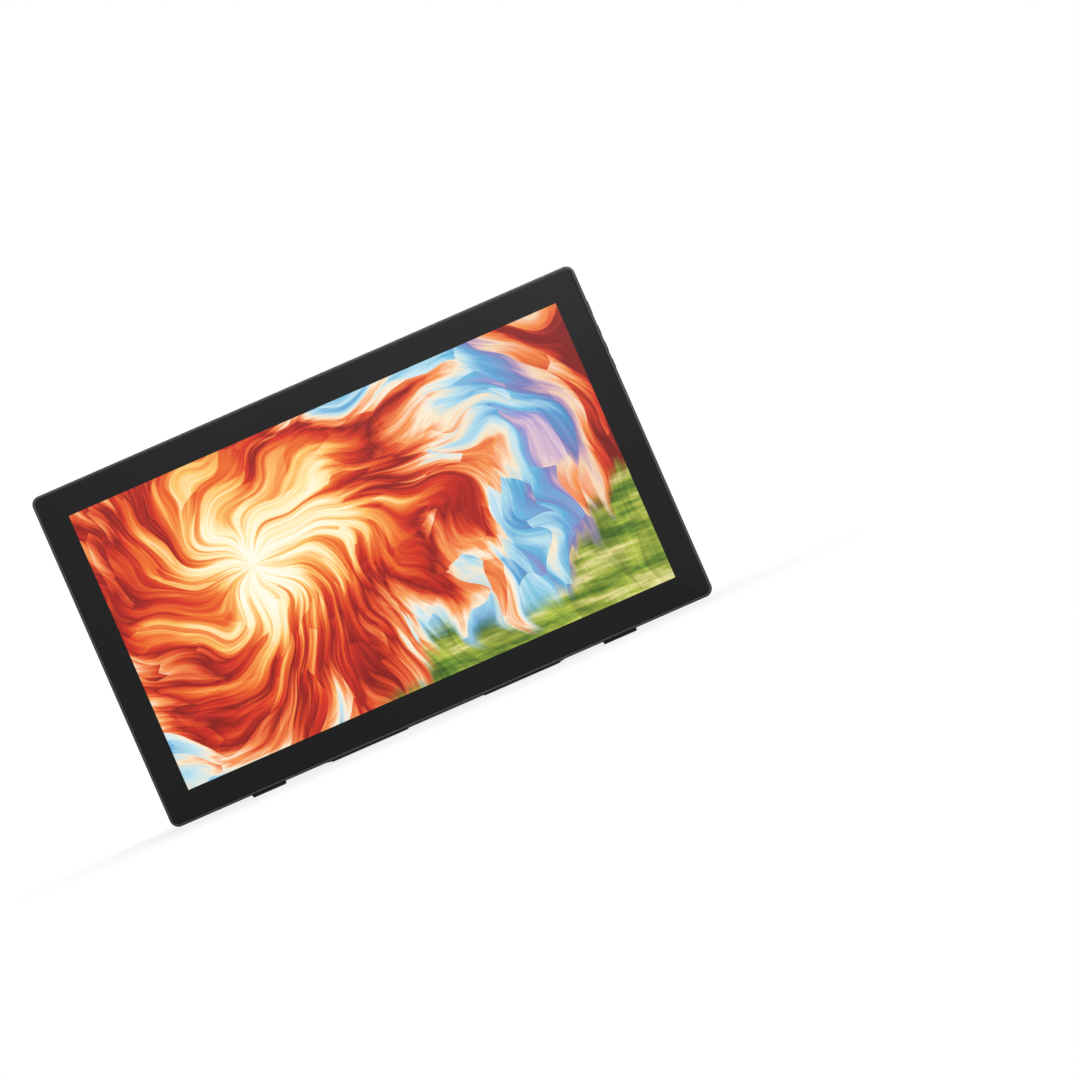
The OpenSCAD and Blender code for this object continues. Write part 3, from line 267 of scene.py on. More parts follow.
def glass_finish():
    """Black print and an abstract painting: feathered strokes that turn about a pale burst at the left."""
    f = paint("etched_glass", Specular_IOR_Level=0.12, Emission_Strength=1.0)
    at = f.place()
    x, _, z = f.axes(at)
    half = picture_w / 2000
    u = x / half
    w = (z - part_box("front_frame")[0].z - middle_z / 1000) / half
    lit = (abs(x) < half) * (abs(w) < picture_h / picture_w)

    drift = f.noise(f.join(u, w, 0.0), 1.3, 2.0)
    drift_2 = f.noise(f.join(u, w, 7.3), 1.3, 2.0)
    across = u + (drift - 0.5) * 0.9 + 0.38
    up = w + (drift_2 - 0.5) * 0.9 - 0.06
    reach = (across * across + up * up).math("SQRT")
    turn = up.math("ARCTAN2", across) + reach * 1.15
    ring_x, ring_y = turn.math("COSINE"), turn.math("SINE")

    broad = f.noise(f.join(ring_x * 2.1, ring_y * 2.1, reach * 0.9), 1.0, 3.0)
    feather = f.noise(f.join(ring_x * 6.0, ring_y * 6.0, reach * 1.7), 1.0, 5.0, 0.6)
    hair = f.noise(f.join(ring_x * 26.0, ring_y * 26.0, reach * 4.0), 1.0, 4.0, 0.6)
    dab = f.node("ShaderNodeTexVoronoi", {"feature": "F1"},
                 {"Vector": f.join(ring_x * 9.0, ring_y * 9.0, reach * 6.5), "Scale": 1.0}, out="Color")
    dab_tone, dab_shift, _ = f.axes(dab)

    flow = reach * 0.66 + (broad - 0.5) * 0.64 + (feather - 0.5) * 0.64 + (dab_shift - 0.5) * 0.11
    fire = f.node("ShaderNodeValToRGB", {"stops": [
        (0.00, tint("FFFBEA")), (0.09, tint("FFF0C4")), (0.16, tint("FBC56B")), (0.23, tint("F0752A")),
        (0.31, tint("D9321A")), (0.38, tint("9C1512")), (0.43, tint("E2481F")), (0.49, tint("F7A05A")),
        (0.54, tint("FBEBD3")), (0.60, tint("BFE3F0")), (0.67, tint("63B6DE")), (0.75, tint("8C8CC8")),
        (0.80, tint("D9B7C9")), (0.84, tint("F6DEC4")), (0.89, tint("F59A50")), (0.94, tint("DE4020")),
        (1.00, tint("8E1814"))]}, {0: flow})
    meadow = f.node("ShaderNodeValToRGB", {"stops": [
        (0.22, tint("24401A")), (0.40, tint("5C8426")), (0.55, tint("A9B944")), (0.68, tint("EDE3A2")),
        (0.80, tint("7FB3A8"))]}, {0: f.noise(f.join(u * 2.0 + w * 3.0, w * 11.0, 2.0), 1.6, 5.0, 0.62)})
    slope = (u * 0.42 - w + (broad - 0.5) * 0.9 + (feather - 0.5) * 0.35).ramp(0.52, 0.62)
    scene = f.mix(slope, fire, meadow)
    stroke = f.mix(0.45, scene, f.mix(hair.ramp(0.3, 0.72), tint("5E5A60"), tint("D8D2C8")), "SOFT_LIGHT")
    stroke = f.mix(0.22, stroke, f.mix(dab_tone, tint("3A3034"), tint("F4F0EA")), "OVERLAY")

    smudge = f.noise(at, 9.0, 3.0)
    grain = f.noise(at, 2600.0, 1.0)
    f.give(Base_Color=f.mix(smudge, tint("121213"), tint("171718")),
           Roughness=0.27 + smudge * 0.1,
           Emission_Color=f.mix(lit, tint("000000"), stroke),
           Normal=f.bump(grain, 0.00002, 0.35))
    return f


make("front_glass", "tablet", ["cover_glass"], [glass_sheet()], glass_finish())


# Front frame: moulded ring of black plastic, with a thin rim round the glass and the front half of the sides.
# The ledge behind the rim carries the glass; the rear cover meets the ring at the seam half way back.

seam_y, seam_chamfer = 13.0, 0.3
rim_w, rim_step, frame_wall = 2.85, 0.6, 2.2
ledge_y, ledge_w, ledge_t = 2.2, 18.0, 1.5
frame_corner, least_corner = 9.0, 0.6
frame_edge, lip_edge = 1.1, 0.35
rim_highlight_start, rim_highlight_stop = 0.61, 0.8


def frame_ring():
    """A closed section carried round the outline: rim, softened edge, side, seam, inside and ledge."""
    inset, depth = soft_edge(frame_edge, 7)
    lip_inset, lip_depth = soft_edge(lip_edge, 4)
    ledge_back = ledge_y + ledge_t
    insets = np.concatenate([[ledge_w, rim_w], rim_w - lip_inset[::-1], inset,
                             [0, seam_chamfer, frame_wall, frame_wall, ledge_w, ledge_w]])
    depths = np.concatenate([[ledge_y, ledge_y], rim_step + lip_depth[::-1], rim_step + depth,
                             [seam_y - seam_chamfer, seam_y, seam_y, ledge_back, ledge_back, ledge_y]])
    rings = [outline(tablet_w - 2 * i, tablet_h - 2 * i, max(frame_corner - i, least_corner)) + [0, middle_z]
             for i in insets]
    return skin(stack(rings, depths), first=False, last=False)


def moulded(name, dark, light, rough, grain, level=0.16):
    """Moulded plastic: slow clouds of tone and gloss over fine pebbles of the given grain in metres."""
    f = paint(name, Specular_IOR_Level=level)
    at = f.place()
    cloud = f.noise(at, 14.0, 4.0)
    pebble = f.noise(at, 1 / grain, 2.0, 0.6)
    f.give(Base_Color=f.mix(cloud * 0.7 + pebble * 0.3, tint(dark), tint(light)),
           Roughness=rough - 0.06 + cloud * 0.12,
           Normal=f.bump(pebble, grain * 0.12, 0.5))
    return f


def frame_finish():
    """Moulded black whose rim, the part in front of the softened edge, is painted a paler grey: a painted
    highlight along the glass.
    """
    f = moulded("frame_black_rim_highlight", "101011", "161617", 0.4, 0.0005)
    _, y, _ = f.axes(f.place())
    # The rim's pale grey is a painted highlight, not the plastic's own colour.
    rim = 1 - (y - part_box("cover_glass")[0].y).ramp(rim_highlight_start / 1000, rim_highlight_stop / 1000)
    f.give(Base_Color=f.mix(rim, f.given("Base Color"), tint("3A3A3B")))
    return f


make("front_rim", "tablet", ["front_frame"], [frame_ring()], frame_finish())


# Display layers, boards and cables: bonded cell, films, light guide, tray, pen sensor and electronics.
# They lie closed in between the glass and the cover, screwed to one aluminium chassis plate.

def brushed(name, dark, light, rough, along):
    """Metal with fine drawn lines along one axis and slightly uneven gloss."""
    f = paint(name, Metallic=1.0)
    at = f.place()
    drawn, across = 40.0, 2200.0
    squeezed = [axis * (drawn if letter == along else across) for letter, axis in zip("xyz", f.axes(at))]
    line = f.noise(f.join(*squeezed), 1.0, 3.0)
    f.give(Base_Color=f.mix(line, tint(dark), tint(light)), Roughness=rough - 0.08 + line * 0.16,
           Normal=f.bump(line, 0.00002, 0.3))
    return f


def circuit(name):
    """Lacquered green board, made very dark partly as painted shade: traces are the edges of uneven cells,
    laid over the resin's mottle.
    """
    f = paint(name, Roughness=0.35, Coat_Weight=0.3)
    at = f.place()
    x, _, z = f.axes(at)
    cell = f.node("ShaderNodeTexVoronoi", {"feature": "DISTANCE_TO_EDGE", "voronoi_dimensions": "2D"},
                  {"Vector": f.join(x, z, 0.0), "Scale": 260.0, "Randomness": 0.55})
    trace = 1 - cell.ramp(0.06, 0.12)
    mottle = f.noise(at, 300.0, 3.0)
    # The board's very dark green is partly painted shade, for what is seen through the vent slits.
    board = f.mix(mottle, tint("0C2219"), tint("123024"))
    f.give(Base_Color=f.mix(trace, board, tint("1E4630")), Roughness=0.3 + mottle * 0.15,
           Normal=f.bump(trace, 0.00003, 0.5))
    return f


def cast_film(name, dark, light, rough):
    """Film or sheet with a faint cloudiness."""
    f = paint(name)
    cloud = f.noise(f.place(), 60.0, 3.0)
    f.give(Base_Color=f.mix(cloud, tint(dark), tint(light)), Roughness=rough - 0.05 + cloud * 0.1)
    return f


def dress(finish, *nodes):
    """Gives a finish to CAD nodes that are shown as they are."""
    for node in nodes:
        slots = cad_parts[node].data.materials
        slots.clear()
        slots.append(finish.owner)


dress(circuit("board_lacquer_and_painted_shade"), "sensor_board", "main_board", "digitizer_board", "io_board", "key_board")
dress(brushed("sheet_metal", "A4A6A8", "C4C6C8", 0.38, "x"), "backlight_tray", "shield_plate")
# The chassis plate is darker than the tray partly as painted shade, for what is seen through the vent slits.
dress(brushed("chassis_metal_and_painted_shade", "6A6C6E", "828486", 0.66, "x"), "chassis_plate")
dress(cast_film("dark_cell", "17181C", "1E2026", 0.2), "lcd_cell")
dress(cast_film("white_sheet", "E6E6E4", "F2F2F0", 0.5), "diffuser_sheet")
dress(cast_film("guide_acrylic", "C8D4D6", "DCE6E8", 0.15), "light_guide")
dress(cast_film("lamp_ceramic", "D8D2B8", "ECE6CE", 0.45), "led_bar")
dress(cast_film("amber_cable", "B07A30", "C8924A", 0.4), "panel_cable", "sensor_cable")
dress(moulded("tape_black", "0C0C0C", "141414", 0.6, 0.0004), "glass_tape", "key_switches")


# Sockets: drawn shells of plated steel round plastic tongues, soldered to the small board at the right edge.
# They stand flush with openings in the rear cover's side, where the data and video leads go in.

data_mouth, data_tongue = 8.94, (6.7, 0.7)
video_mouth, video_tongue = 15.0, (11.0, 1.2)
tongue_margin, tongue_sink = 0.03, 1.4


def socket_finish(node, mouth, tongue_long, tongue_thick):
    """Plated shell and black tongue, told apart by the distance from the middle of the nearest mouth."""
    f = brushed(node + "_plating", "B4B6B8", "D2D4D6", 0.28, "x")
    x, y, z = f.axes(f.place())
    low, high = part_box(node)
    lower = abs(z - (low.z + mouth / 2000))
    upper = abs(z - (high.z - mouth / 2000))
    beside = abs(y - (low.y + high.y) / 2)
    tongue = (beside < (tongue_thick / 2 + tongue_margin) / 1000) * (x < high.x - tongue_sink / 1000)
    tongue = tongue * (lower.math("MINIMUM", upper) < (tongue_long / 2 + tongue_margin) / 1000)
    f.give(Base_Color=f.mix(tongue, f.given("Base Color"), tint("161617")), Metallic=1 - tongue)
    return f


dress(socket_finish("data_sockets", data_mouth, *data_tongue), "data_sockets")
dress(socket_finish("video_socket", video_mouth, *video_tongue), "video_socket")


# Rear cover: one moulded shell of dark grey plastic with a fine spark texture, screwed to the frame.
# Flat in the middle, it rolls off to the edges; two crease lines and two sunk vents mark off a middle band.

back_y, roll_deep, roll_lift, roll_near = 31.0, 12.0, 0.1, 0.25
top_roll, bottom_roll, side_roll = 78.0, 40.0, 30.0


def textured(name, dark, light, rough, edge):
    """Spark-textured plastic whose sharp edges are shaded round over the given radius in metres."""
    f = paint(name, Specular_IOR_Level=0.14)
    at = f.place()
    cloud = f.noise(at, 11.0, 4.0)
    spark = f.noise(at, 1500.0, 3.0, 0.65)
    fleck = f.noise(at, 420.0, 2.0)
    round_edge = f.node("ShaderNodeBevel", {"samples": 4}, {"Radius": edge})
    f.give(Base_Color=f.mix(cloud * 0.55 + spark * 0.25 + fleck * 0.2, tint(dark), tint(light)),
           Roughness=rough - 0.05 + cloud * 0.07 + fleck * 0.05,
           Normal=f.bump(spark, 0.00006, 0.55, round_edge))
    return f


def roll_fall(inside, width, lift):
    """How far an arc that runs out over a width has fallen, at a distance from where it starts."""
    radius = (width ** 2 + (roll_deep + lift) ** 2) / (2 * (roll_deep + lift))
    inside = np.clip(inside, 0, width)
    return np.clip(radius - lift - np.sqrt(radius ** 2 - inside ** 2), 0, None)


def cover_shell():
    """The moulding, cut into fine strips over its rolled edges. There each point moves from the deepest of
    three arcs to the cube root of the sum of their cubes, so that the arcs run into each other at corners."""
    def falls(points, lift):
        return np.stack([roll_fall(np.abs(points[:, 0]) - tablet_w / 2 + side_roll, side_roll, lift),
                         roll_fall(points[:, 2] - tablet_h + top_roll, top_roll, lift),
                         roll_fall(bottom_roll - points[:, 2], bottom_roll, lift)])

    def on_back(points):
        return np.abs(back_y - falls(points, roll_lift).max(0) - points[:, 1]) < roll_near

    def read(mesh):
        flat = np.empty(len(mesh.vertices) * 3)
        mesh.vertices.foreach_get("co", flat)
        return flat.reshape(-1, 3) * 1000 - tablet_corner

    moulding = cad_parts["rear_cover"].data
    corners = np.empty(len(moulding.loops), int)
    moulding.loops.foreach_get("vertex_index", corners)
    mesh = bpy.data.meshes.new("back_moulding")
    mesh.from_pydata(((read(moulding) + tablet_corner) / 1000).tolist(), [], corners.reshape(-1, 3).tolist())
    work = bmesh.new()
    work.from_mesh(mesh)
    bmesh.ops.remove_doubles(work, verts=work.verts, dist=1e-6)
    work.to_mesh(mesh)
    near = on_back(read(mesh))
    faces = [face for face in work.faces if all(near[vert.index] for vert in face.verts)]
    past = np.array([0.5, 2.0])
    side_cuts = tablet_w / 2 - np.append(np.linspace(0, side_roll, 16)[1:], side_roll + past)
    low_cuts = np.append(np.linspace(0, bottom_roll, 21)[1:], bottom_roll + past)
    high_cuts = tablet_h - np.append(np.linspace(0, top_roll, 40)[1:], top_roll + past)
    cuts = [((x, 0, 0), (1, 0, 0)) for x in (*side_cuts, *-side_cuts)]
    cuts += [((0, 0, z), (0, 0, 1)) for z in (*low_cuts, *high_cuts)]
    for place, way in cuts:
        edges = {edge for face in faces for edge in face.edges}
        verts = {vert for face in faces for vert in face.verts}
        cut = bmesh.ops.bisect_plane(work, geom=[*verts, *edges, *faces], dist=1e-7, plane_no=way,
                                     plane_co=((np.array(place) + tablet_corner) / 1000).tolist())
        faces = [part for part in cut["geom"] if isinstance(part, bmesh.types.BMFace)]
    bmesh.ops.dissolve_degenerate(work, edges=work.edges, dist=1e-7)
    work.to_mesh(mesh)
    work.free()
    points = read(mesh)
    near = on_back(points)
    points[near, 1] = back_y - np.cbrt((falls(points[near], 0.0) ** 3).sum(0))
    mesh.vertices.foreach_set("co", ((points + tablet_corner) / 1000).ravel())
    mesh.update()
    return mesh


cover_texture = textured("cover_texture", "3A3A3B", "444445", 0.38, 0.0004)
finish_piece("back_moulding", cover_shell(), "tablet", ["rear_cover"], cover_texture, 25)


# Vent grilles: moulded strips of darker plastic with a row of slits, set in the cover's two sunk vents.
# They snap in from inside; the slits let warm air out past the boards.

dress(textured("grille_texture", "232324", "2E2E2F", 0.5, 0.0002), "upper_vent_grille", "lower_vent_grille")


# Cover screws: six small black steel screws, sunk along both sides of the back into the frame's posts.
# The heads are turned, with a softened rim and a six-sided socket.

screw_side, screw_end = 9.5, 11.1
screw_sink, screw_head_r, screw_head_h, screw_shank = 3.0, 2.4, 1.6, 1.5
head_share, head_rise = np.array([1, 1, 0.94, 0.8, 0.66]), np.array([0, 0.6, 0.86, 0.97, 1])
socket_share, socket_floor, socket_lip = 0.58, 0.4, 0.05
post_y = 4.5


def roll_y(inside, width, out=0.0):
    """Depth of a rolled edge at a distance inside the tablet, moved out along the arc's radius."""
    radius = (width ** 2 + (roll_deep + roll_lift) ** 2) / (2 * (roll_deep + roll_lift))
    return back_y + roll_lift - radius + np.sqrt((radius + out) ** 2 - (width - inside) ** 2)


def screw(x, z, seat, head_r, head_h, shank_r, low):
    """A turned shape: shank, head, softened rim, and a socket whose radius follows a hexagon's sides."""
    turn = np.linspace(0, 2 * math.pi, 36, endpoint=False)
    hexagon = math.cos(math.pi / 6) / np.cos(turn % (math.pi / 3) - math.pi / 6)
    radius = np.append([shank_r, shank_r], head_r * head_share)
    y = np.append([low, seat], seat + head_h * head_rise)
    socket = socket_share * head_r * np.tile(hexagon, (2, 1))
    radius = np.append(np.tile(radius[:, None], len(turn)), socket, 0)
    y = np.append(y, [seat + head_h - socket_lip, seat + socket_floor * head_h])[:, None]
    grid = np.stack(np.broadcast_arrays(x + radius * np.cos(turn), y, z + radius * np.sin(turn)), -1)
    return skin(grid)


def black_steel(name):
    """Steel with a thin black oxide that is slightly uneven in gloss."""
    f = paint(name, Metallic=0.85)
    at = f.place()
    patch = f.noise(at, 700.0, 3.0)
    f.give(Base_Color=f.mix(patch, tint("0E0E0F"), tint("18181A")), Roughness=0.48 + patch * 0.14,
           Normal=f.bump(patch, 0.00002, 0.3))
    return f


screw_steel = black_steel("black_oxide")
cover_screw_skins = []
for side in (-1, 1):
    for z, width in ((screw_end, bottom_roll), (middle_z, side_roll), (tablet_h - screw_end, top_roll)):
        seat = roll_y(screw_side if z == middle_z else screw_end, width) - screw_sink
        cover_screw_skins.append(screw(side * (tablet_w / 2 - screw_side), z, seat,
                                       screw_head_r, screw_head_h, screw_shank, post_y))
make("sunk_screws", "tablet", ["cover_screws"], cover_screw_skins, screw_steel, 30)


# Feet: two blocks of moulded black rubber that hook under the lower edge and up the rolled back.
# They are glued on; grooves across the upper part keep the tablet from sliding when it lies flat.

foot_w, foot_x = 36.0, 190.0
foot_rise, foot_drop, foot_front = 19.6, 3.0, 1.5
foot_skin, foot_gap, foot_rim, foot_corner = 1.6, 0.06, 1.2, 4.0
groove_low, groove_step, groove_count = 4.0, 2.72, 6
groove_deep, groove_half, groove_run = 0.275, 0.62, 2.5


def rubber_foot(side):
    """A path under the edge and up the back, thickened outwards; thickness falls to nothing at every rim."""
    under, up = 26, 150

    def path(drop, out):
        low = np.linspace(foot_front, roll_y(-drop, bottom_roll, out), under)
        rise = np.linspace(-drop, foot_rise, up)[1:]
        return np.concatenate([np.stack([low, np.full(under, -drop)], -1),
                               np.stack([roll_y(rise, bottom_roll, out), rise], -1)])

    def bulge(to_edge):
        return np.sqrt(np.clip(1 - (1 - np.clip(to_edge / foot_rim, 0, 1)) ** 2, 0, 1))

    inner, outer = path(foot_gap, foot_gap), path(foot_drop, foot_skin)
    heel_start, heel_stop, blur = 12, 60, 9
    kernel = np.hanning(blur) / np.hanning(blur).sum()
    heel = [np.convolve(line, kernel, "valid") for line in outer[heel_start:heel_stop].T]
    outer[heel_start + blur // 2:heel_stop - blur // 2] = np.stack(heel, -1)
    across = np.concatenate([np.linspace(-1, -0.93, 6), np.linspace(-0.9, 0.9, 13), np.linspace(0.93, 1, 6)])
    step = np.concatenate([[0], np.cumsum(np.linalg.norm(np.diff(outer, axis=0), axis=1))])
    to_top = step[-1] - step
    to_side = (1 - np.abs(across)) * foot_w / 2
    full = bulge(np.minimum(step, to_top))[:, None] * bulge(to_side)
    from_top = np.clip(foot_corner - to_top, 0, foot_corner)
    half = foot_w / 2 - foot_corner + np.sqrt(foot_corner ** 2 - from_top ** 2)
    x = side * foot_x + across * half[:, None]
    off = inner[under:, 1:] - groove_low - np.arange(groove_count) * groove_step
    groove = groove_deep * np.sqrt(np.clip(1 - (off / groove_half) ** 2, 0, 1)).sum(1)
    deep = np.append(np.zeros(under), groove)[:, None] * np.clip(to_side / groove_run, 0, 1)
    far = inner[:, None] + (outer - inner)[:, None] * (full * (1 - deep / foot_skin))[..., None]
    near = np.broadcast_to(inner[:, None], far.shape)
    return [skin(np.concatenate([x[..., None], face], -1), closed=False, first=False, last=False)
            for face in (far, near)]


rubber = moulded("foot_rubber", "1C1C1C", "272727", 0.68, 0.0006, 0.1)
for side, name in ((-1, "left"), (1, "right")):
    make("rubber_foot_" + name, "tablet", ["foot_" + name], rubber_foot(side), rubber, 50)


# Stand mount: steel bracket inside the cover and painted steel plate outside, held together by four screws.
# The plate's two ears carry brass bushes for the hinge shaft and a lug for the lock spring.

dress(brushed("bracket_steel", "8C8E90", "A8AAAC", 0.4, "z"), "stand_bracket")
# The plate's near-black is its paint made darker still, as painted shade in the lever's notch.
dress(moulded("black_paint_and_notch_shade", "0B0B0C", "121213", 0.55, 0.0003, 0.1), "mount_plate")
dress(brushed("turned_brass", "A8803E", "C89C58", 0.3, "x"), "shaft_bushes")
mount_x, mount_low_z, mount_high_z = 50.0, 136.1, 236.1
mount_low_seat, mount_high_seat = 33.5, 46.0
mount_head_r, mount_head_h, mount_shank, nut_y = 3.8, 2.4, 2.0, 22.5
mount_seats = ((mount_low_z, mount_low_seat), (mount_high_z, mount_high_seat))
mount_skins = [screw(side * mount_x, z, seat, mount_head_r, mount_head_h, mount_shank, nut_y)
               for side in (-1, 1) for z, seat in mount_seats]
make("stand_screws", "tablet", ["mount_screws"], mount_skins, screw_steel, 30)
dress(brushed("spring_steel", "7C7E80", "9A9C9E", 0.32, "x"), "lock_spring")


# Hinge housing: moulded cover over the hinge, of the back's plastic, screwed down through deep holes.
# Two blocks stand beside the lever's notch; below them one barrel spans the whole width over the shaft.

housing_half, housing_wall, housing_lift = 68.0, 2.5, 0.1
barrel_low, barrel_join, notch_low = 146.6, 206.7, 203.5
crest_z, crest_y, crest_r = 186.1, -9.0, 65.0
bend_r, bend_start, under_lean = 26.0, math.radians(3), math.radians(34.5)
bend_z = crest_z + (crest_r - bend_r) * math.sin(bend_start)
bend_y = crest_y + (crest_r - bend_r) * math.cos(bend_start)
nose_r, nose_least = 3.0, 0.3
nose_z = barrel_low + nose_r
nose_y = bend_y + (bend_r - nose_r - (bend_z - nose_z) * math.sin(under_lean)) / math.cos(under_lean)
barrel_edge, plate_gap = 2.2, 0.05
block_y, block_top, block_edge = 52.6, 254.2, 1.2
block_corner, notch_corner = 10.0, 2.0
block_sink, block_out, block_in, edge_fade = 4.0, 3.0, 4.0, 6.0
notch_half, notch_foot, notch_straight = 19.2, 15.1, 220.0
hole_r, hole_rim, hole_margin, face_margin = 4.5, 0.5, 2.0, 0.5


def notch_x(z):
    """Half the notch's width: an arc that draws in from the straight sides to the tongue's root."""
    drawn = notch_half - notch_foot
    bow = ((notch_straight - notch_low) ** 2 + drawn ** 2) / (2 * drawn)
    return notch_half - bow + np.sqrt(bow ** 2 - (notch_straight - z) ** 2)


def barrel():
    """The section, a lip, the nose's arc, a slanting underside, a tight bend and the crest's wide arc, laid
    out outside and inside the wall and carried across. It is drawn in at the ends, where plates close it."""
    inset, draw = soft_edge(barrel_edge, 6)
    notch = np.linspace(notch_foot, notch_x(barrel_join), 9)
    half = np.concatenate([[0, 10], notch, [20, 40, 60], housing_half - inset])
    pull = np.concatenate([np.zeros(len(half) - len(draw)), draw])
    x = np.concatenate([-half[:0:-1], half])
    pull = np.concatenate([pull[:0:-1], pull])
    fit = np.linspace(notch_low, barrel_join, 60)
    top = np.interp(np.abs(x), notch_x(fit), fit)

    def section(pull, top):
        pull, top = pull[:, None], top[:, None]
        nose = np.maximum(nose_r - pull, nose_least)
        nose_turn = np.linspace(-math.pi / 2, -under_lean, 14)
        bend_turn = np.linspace(-under_lean, bend_start, 24)
        reach = np.arcsin((top - crest_z) / (crest_r - pull))
        crest_turn = bend_start + (reach - bend_start) * np.linspace(0, 1, 18)[1:]
        z = np.concatenate([nose_z - nose, nose_z + nose * np.sin(nose_turn),
                            bend_z + (bend_r - pull) * np.sin(bend_turn),
                            crest_z + (crest_r - pull) * np.sin(crest_turn)], 1)
        y = np.concatenate([np.full_like(pull, back_y + housing_lift), nose_y + nose * np.cos(nose_turn),
                            bend_y + (bend_r - pull) * np.cos(bend_turn),
                            crest_y + (crest_r - pull) * np.cos(crest_turn)], 1)
        return np.stack([y, z], -1)

    outside = section(pull, top)
    inside = section(pull + housing_wall, top)
    ring = np.concatenate([outside, inside[:, ::-1]], 1)
    grid = np.concatenate([np.broadcast_to(x[:, None, None], (*ring.shape[:2], 1)), ring], -1)
    plate = np.concatenate([outside[0], [[back_y + housing_lift, outside[0, -1, 1]]]])
    plates = [[np.insert(plate, 0, side * (housing_half - gap), axis=1) for gap in (housing_wall, plate_gap)]
              for side in (-1, 1)]
    return [skin(grid), *[skin(np.stack(faces)) for faces in plates]]


def block(side):
    """The block's plan, raised to a softened face; the face runs in to the sunk screw's hole and its seat."""
    block_low = notch_low - block_sink
    z = np.linspace(notch_low, notch_straight, 14)
    inner = np.stack([notch_x(z), z], -1)
    bottom_x = np.linspace(housing_half - block_out, notch_foot + block_in, 10)
    bottom = np.stack([bottom_x, np.full(10, block_low)], -1)
    rise_z = np.linspace(notch_straight, block_top - notch_corner, 8)[1:-1]
    rise = np.stack([np.full(6, notch_half), rise_z], -1)
    in_turn = np.linspace(math.pi, math.pi / 2, 6)
    in_corner = notch_corner * np.stack([1 + np.cos(in_turn), np.sin(in_turn) - 1], -1)
    in_corner = in_corner + [notch_half, block_top]
    top_x = np.linspace(notch_half + notch_corner, housing_half - block_corner, 10)[1:-1]
    top = np.stack([top_x, np.full(8, block_top)], -1)
    out_turn = np.linspace(math.pi / 2, 0, 12)
    out_corner = block_corner * np.stack([np.cos(out_turn), np.sin(out_turn)], -1)
    out_corner += [housing_half - block_corner, block_top - block_corner]
    fall_z = np.linspace(block_top - block_corner, barrel_join - 0.3, 12)[1:]
    fall = np.stack([np.full(11, housing_half), fall_z], -1)
    loop = np.concatenate([bottom, inner, rise, in_corner, top, out_corner, fall])
    edge = np.roll(loop, -1, 0) - np.roll(loop, 1, 0)
    inward = np.stack([edge[:, 1], -edge[:, 0]], -1) / np.linalg.norm(edge, axis=1)[:, None]
    inward *= np.clip((loop[:, 1:] - barrel_join) / edge_fade, 0.02, 1)
    inset, depth = soft_edge(block_edge, 6)
    rows = [loop, *[loop + inward * i for i in inset[::-1]], loop + inward * (inset[0] + face_margin)]
    depths = [back_y + housing_lift, *(block_y - depth[::-1]), block_y]
    ray = loop - [mount_x, mount_high_z]
    ray /= np.linalg.norm(ray, axis=1)[:, None]
    radii = [hole_r + hole_margin, hole_r + hole_rim, hole_r + 0.3 * hole_rim, hole_r, hole_r, mount_shank]
    rows += [ray * radius + [mount_x, mount_high_z] for radius in radii]
    depths += [block_y, block_y, block_y - 0.3 * hole_rim, block_y - hole_rim]
    depths += [mount_high_seat, mount_high_seat]
    grid = stack(rows, depths)
    grid[..., 0] *= side
    return skin(grid)


make("hinge_cover", "tablet", ["hinge_housing"], [*barrel(), block(-1), block(1)],
     textured("housing_texture", "3A3A3B", "444445", 0.36, 0.0004), 40)


# Stand leg: one aluminium casting, powder coated dark grey. Two arms turn on the shaft, spread in long curves
# and join in a foot bar; a crossbar below the barrel ties them together and carries a recessed lip.

hinge_y, hinge_z = 44.0, 186.1
open_angle = math.radians(6.772443)
eye_r, arm_in, arm_out, arm_soft = 12.0, 71.3, 91.3, 1.3
spread_z, spread_r = 148.0, 180.0
spread_x = arm_out + spread_r
taper = 50.0
bar_low, bar_high = -3.6, 19.9
bar_corner, window_corner = 18.0, 5.0
window_top, ridge_z, lip_top = 118.5, 130.3, 145.8
bar_sink, bar_bury, lip_out, lip_in = 0.35, 2.0, 2.0, 6.0
bar_edges = [1.5, 1.5, 1.5, 1.2, 1.0, 1.0, 1.5]


def opened(skins):
    """Turns what is drawn folded about the hinge, so that the foot swings back to the floor."""
    turned = []
    for points, quads, caps in skins:
        x, y, z = (points - [0, hinge_y, hinge_z]).T
        spun = np.stack([x, y * math.cos(open_angle) - z * math.sin(open_angle),
                         y * math.sin(open_angle) + z * math.cos(open_angle)], -1)
        turned.append((spun + [0, hinge_y, hinge_z], quads, caps))
    return turned


def arm_edge(x, radius, low, corner):
    """Half of the leg's edge in x and z: straight at the eye, a long arc, a corner arc, along the bar."""
    corner_z = low + corner
    corner_x = spread_x - math.sqrt((radius + corner) ** 2 - (spread_z - corner_z) ** 2)
    lean = math.atan2(spread_z - corner_z, spread_x - corner_x)
    eye = hinge_z + eye_r * np.cos(np.linspace(0, math.pi / 2, 14))
    straight = np.linspace(hinge_z, spread_z, 14)[1:]
    sweep = np.linspace(0, lean, 48)[1:]
    bend = np.linspace(lean, -math.pi / 2, 16)[1:]
    along = np.linspace(corner_x, 0, 14)[1:]
    return np.concatenate([
        np.stack([np.full(27, x), np.concatenate([eye, straight])], -1),
        np.stack([spread_x - radius * np.cos(sweep), spread_z - radius * np.sin(sweep)], -1),
        np.stack([corner_x + corner * np.cos(bend), corner_z + corner * np.sin(bend)], -1),
        np.stack([along, np.full(13, low)], -1)])


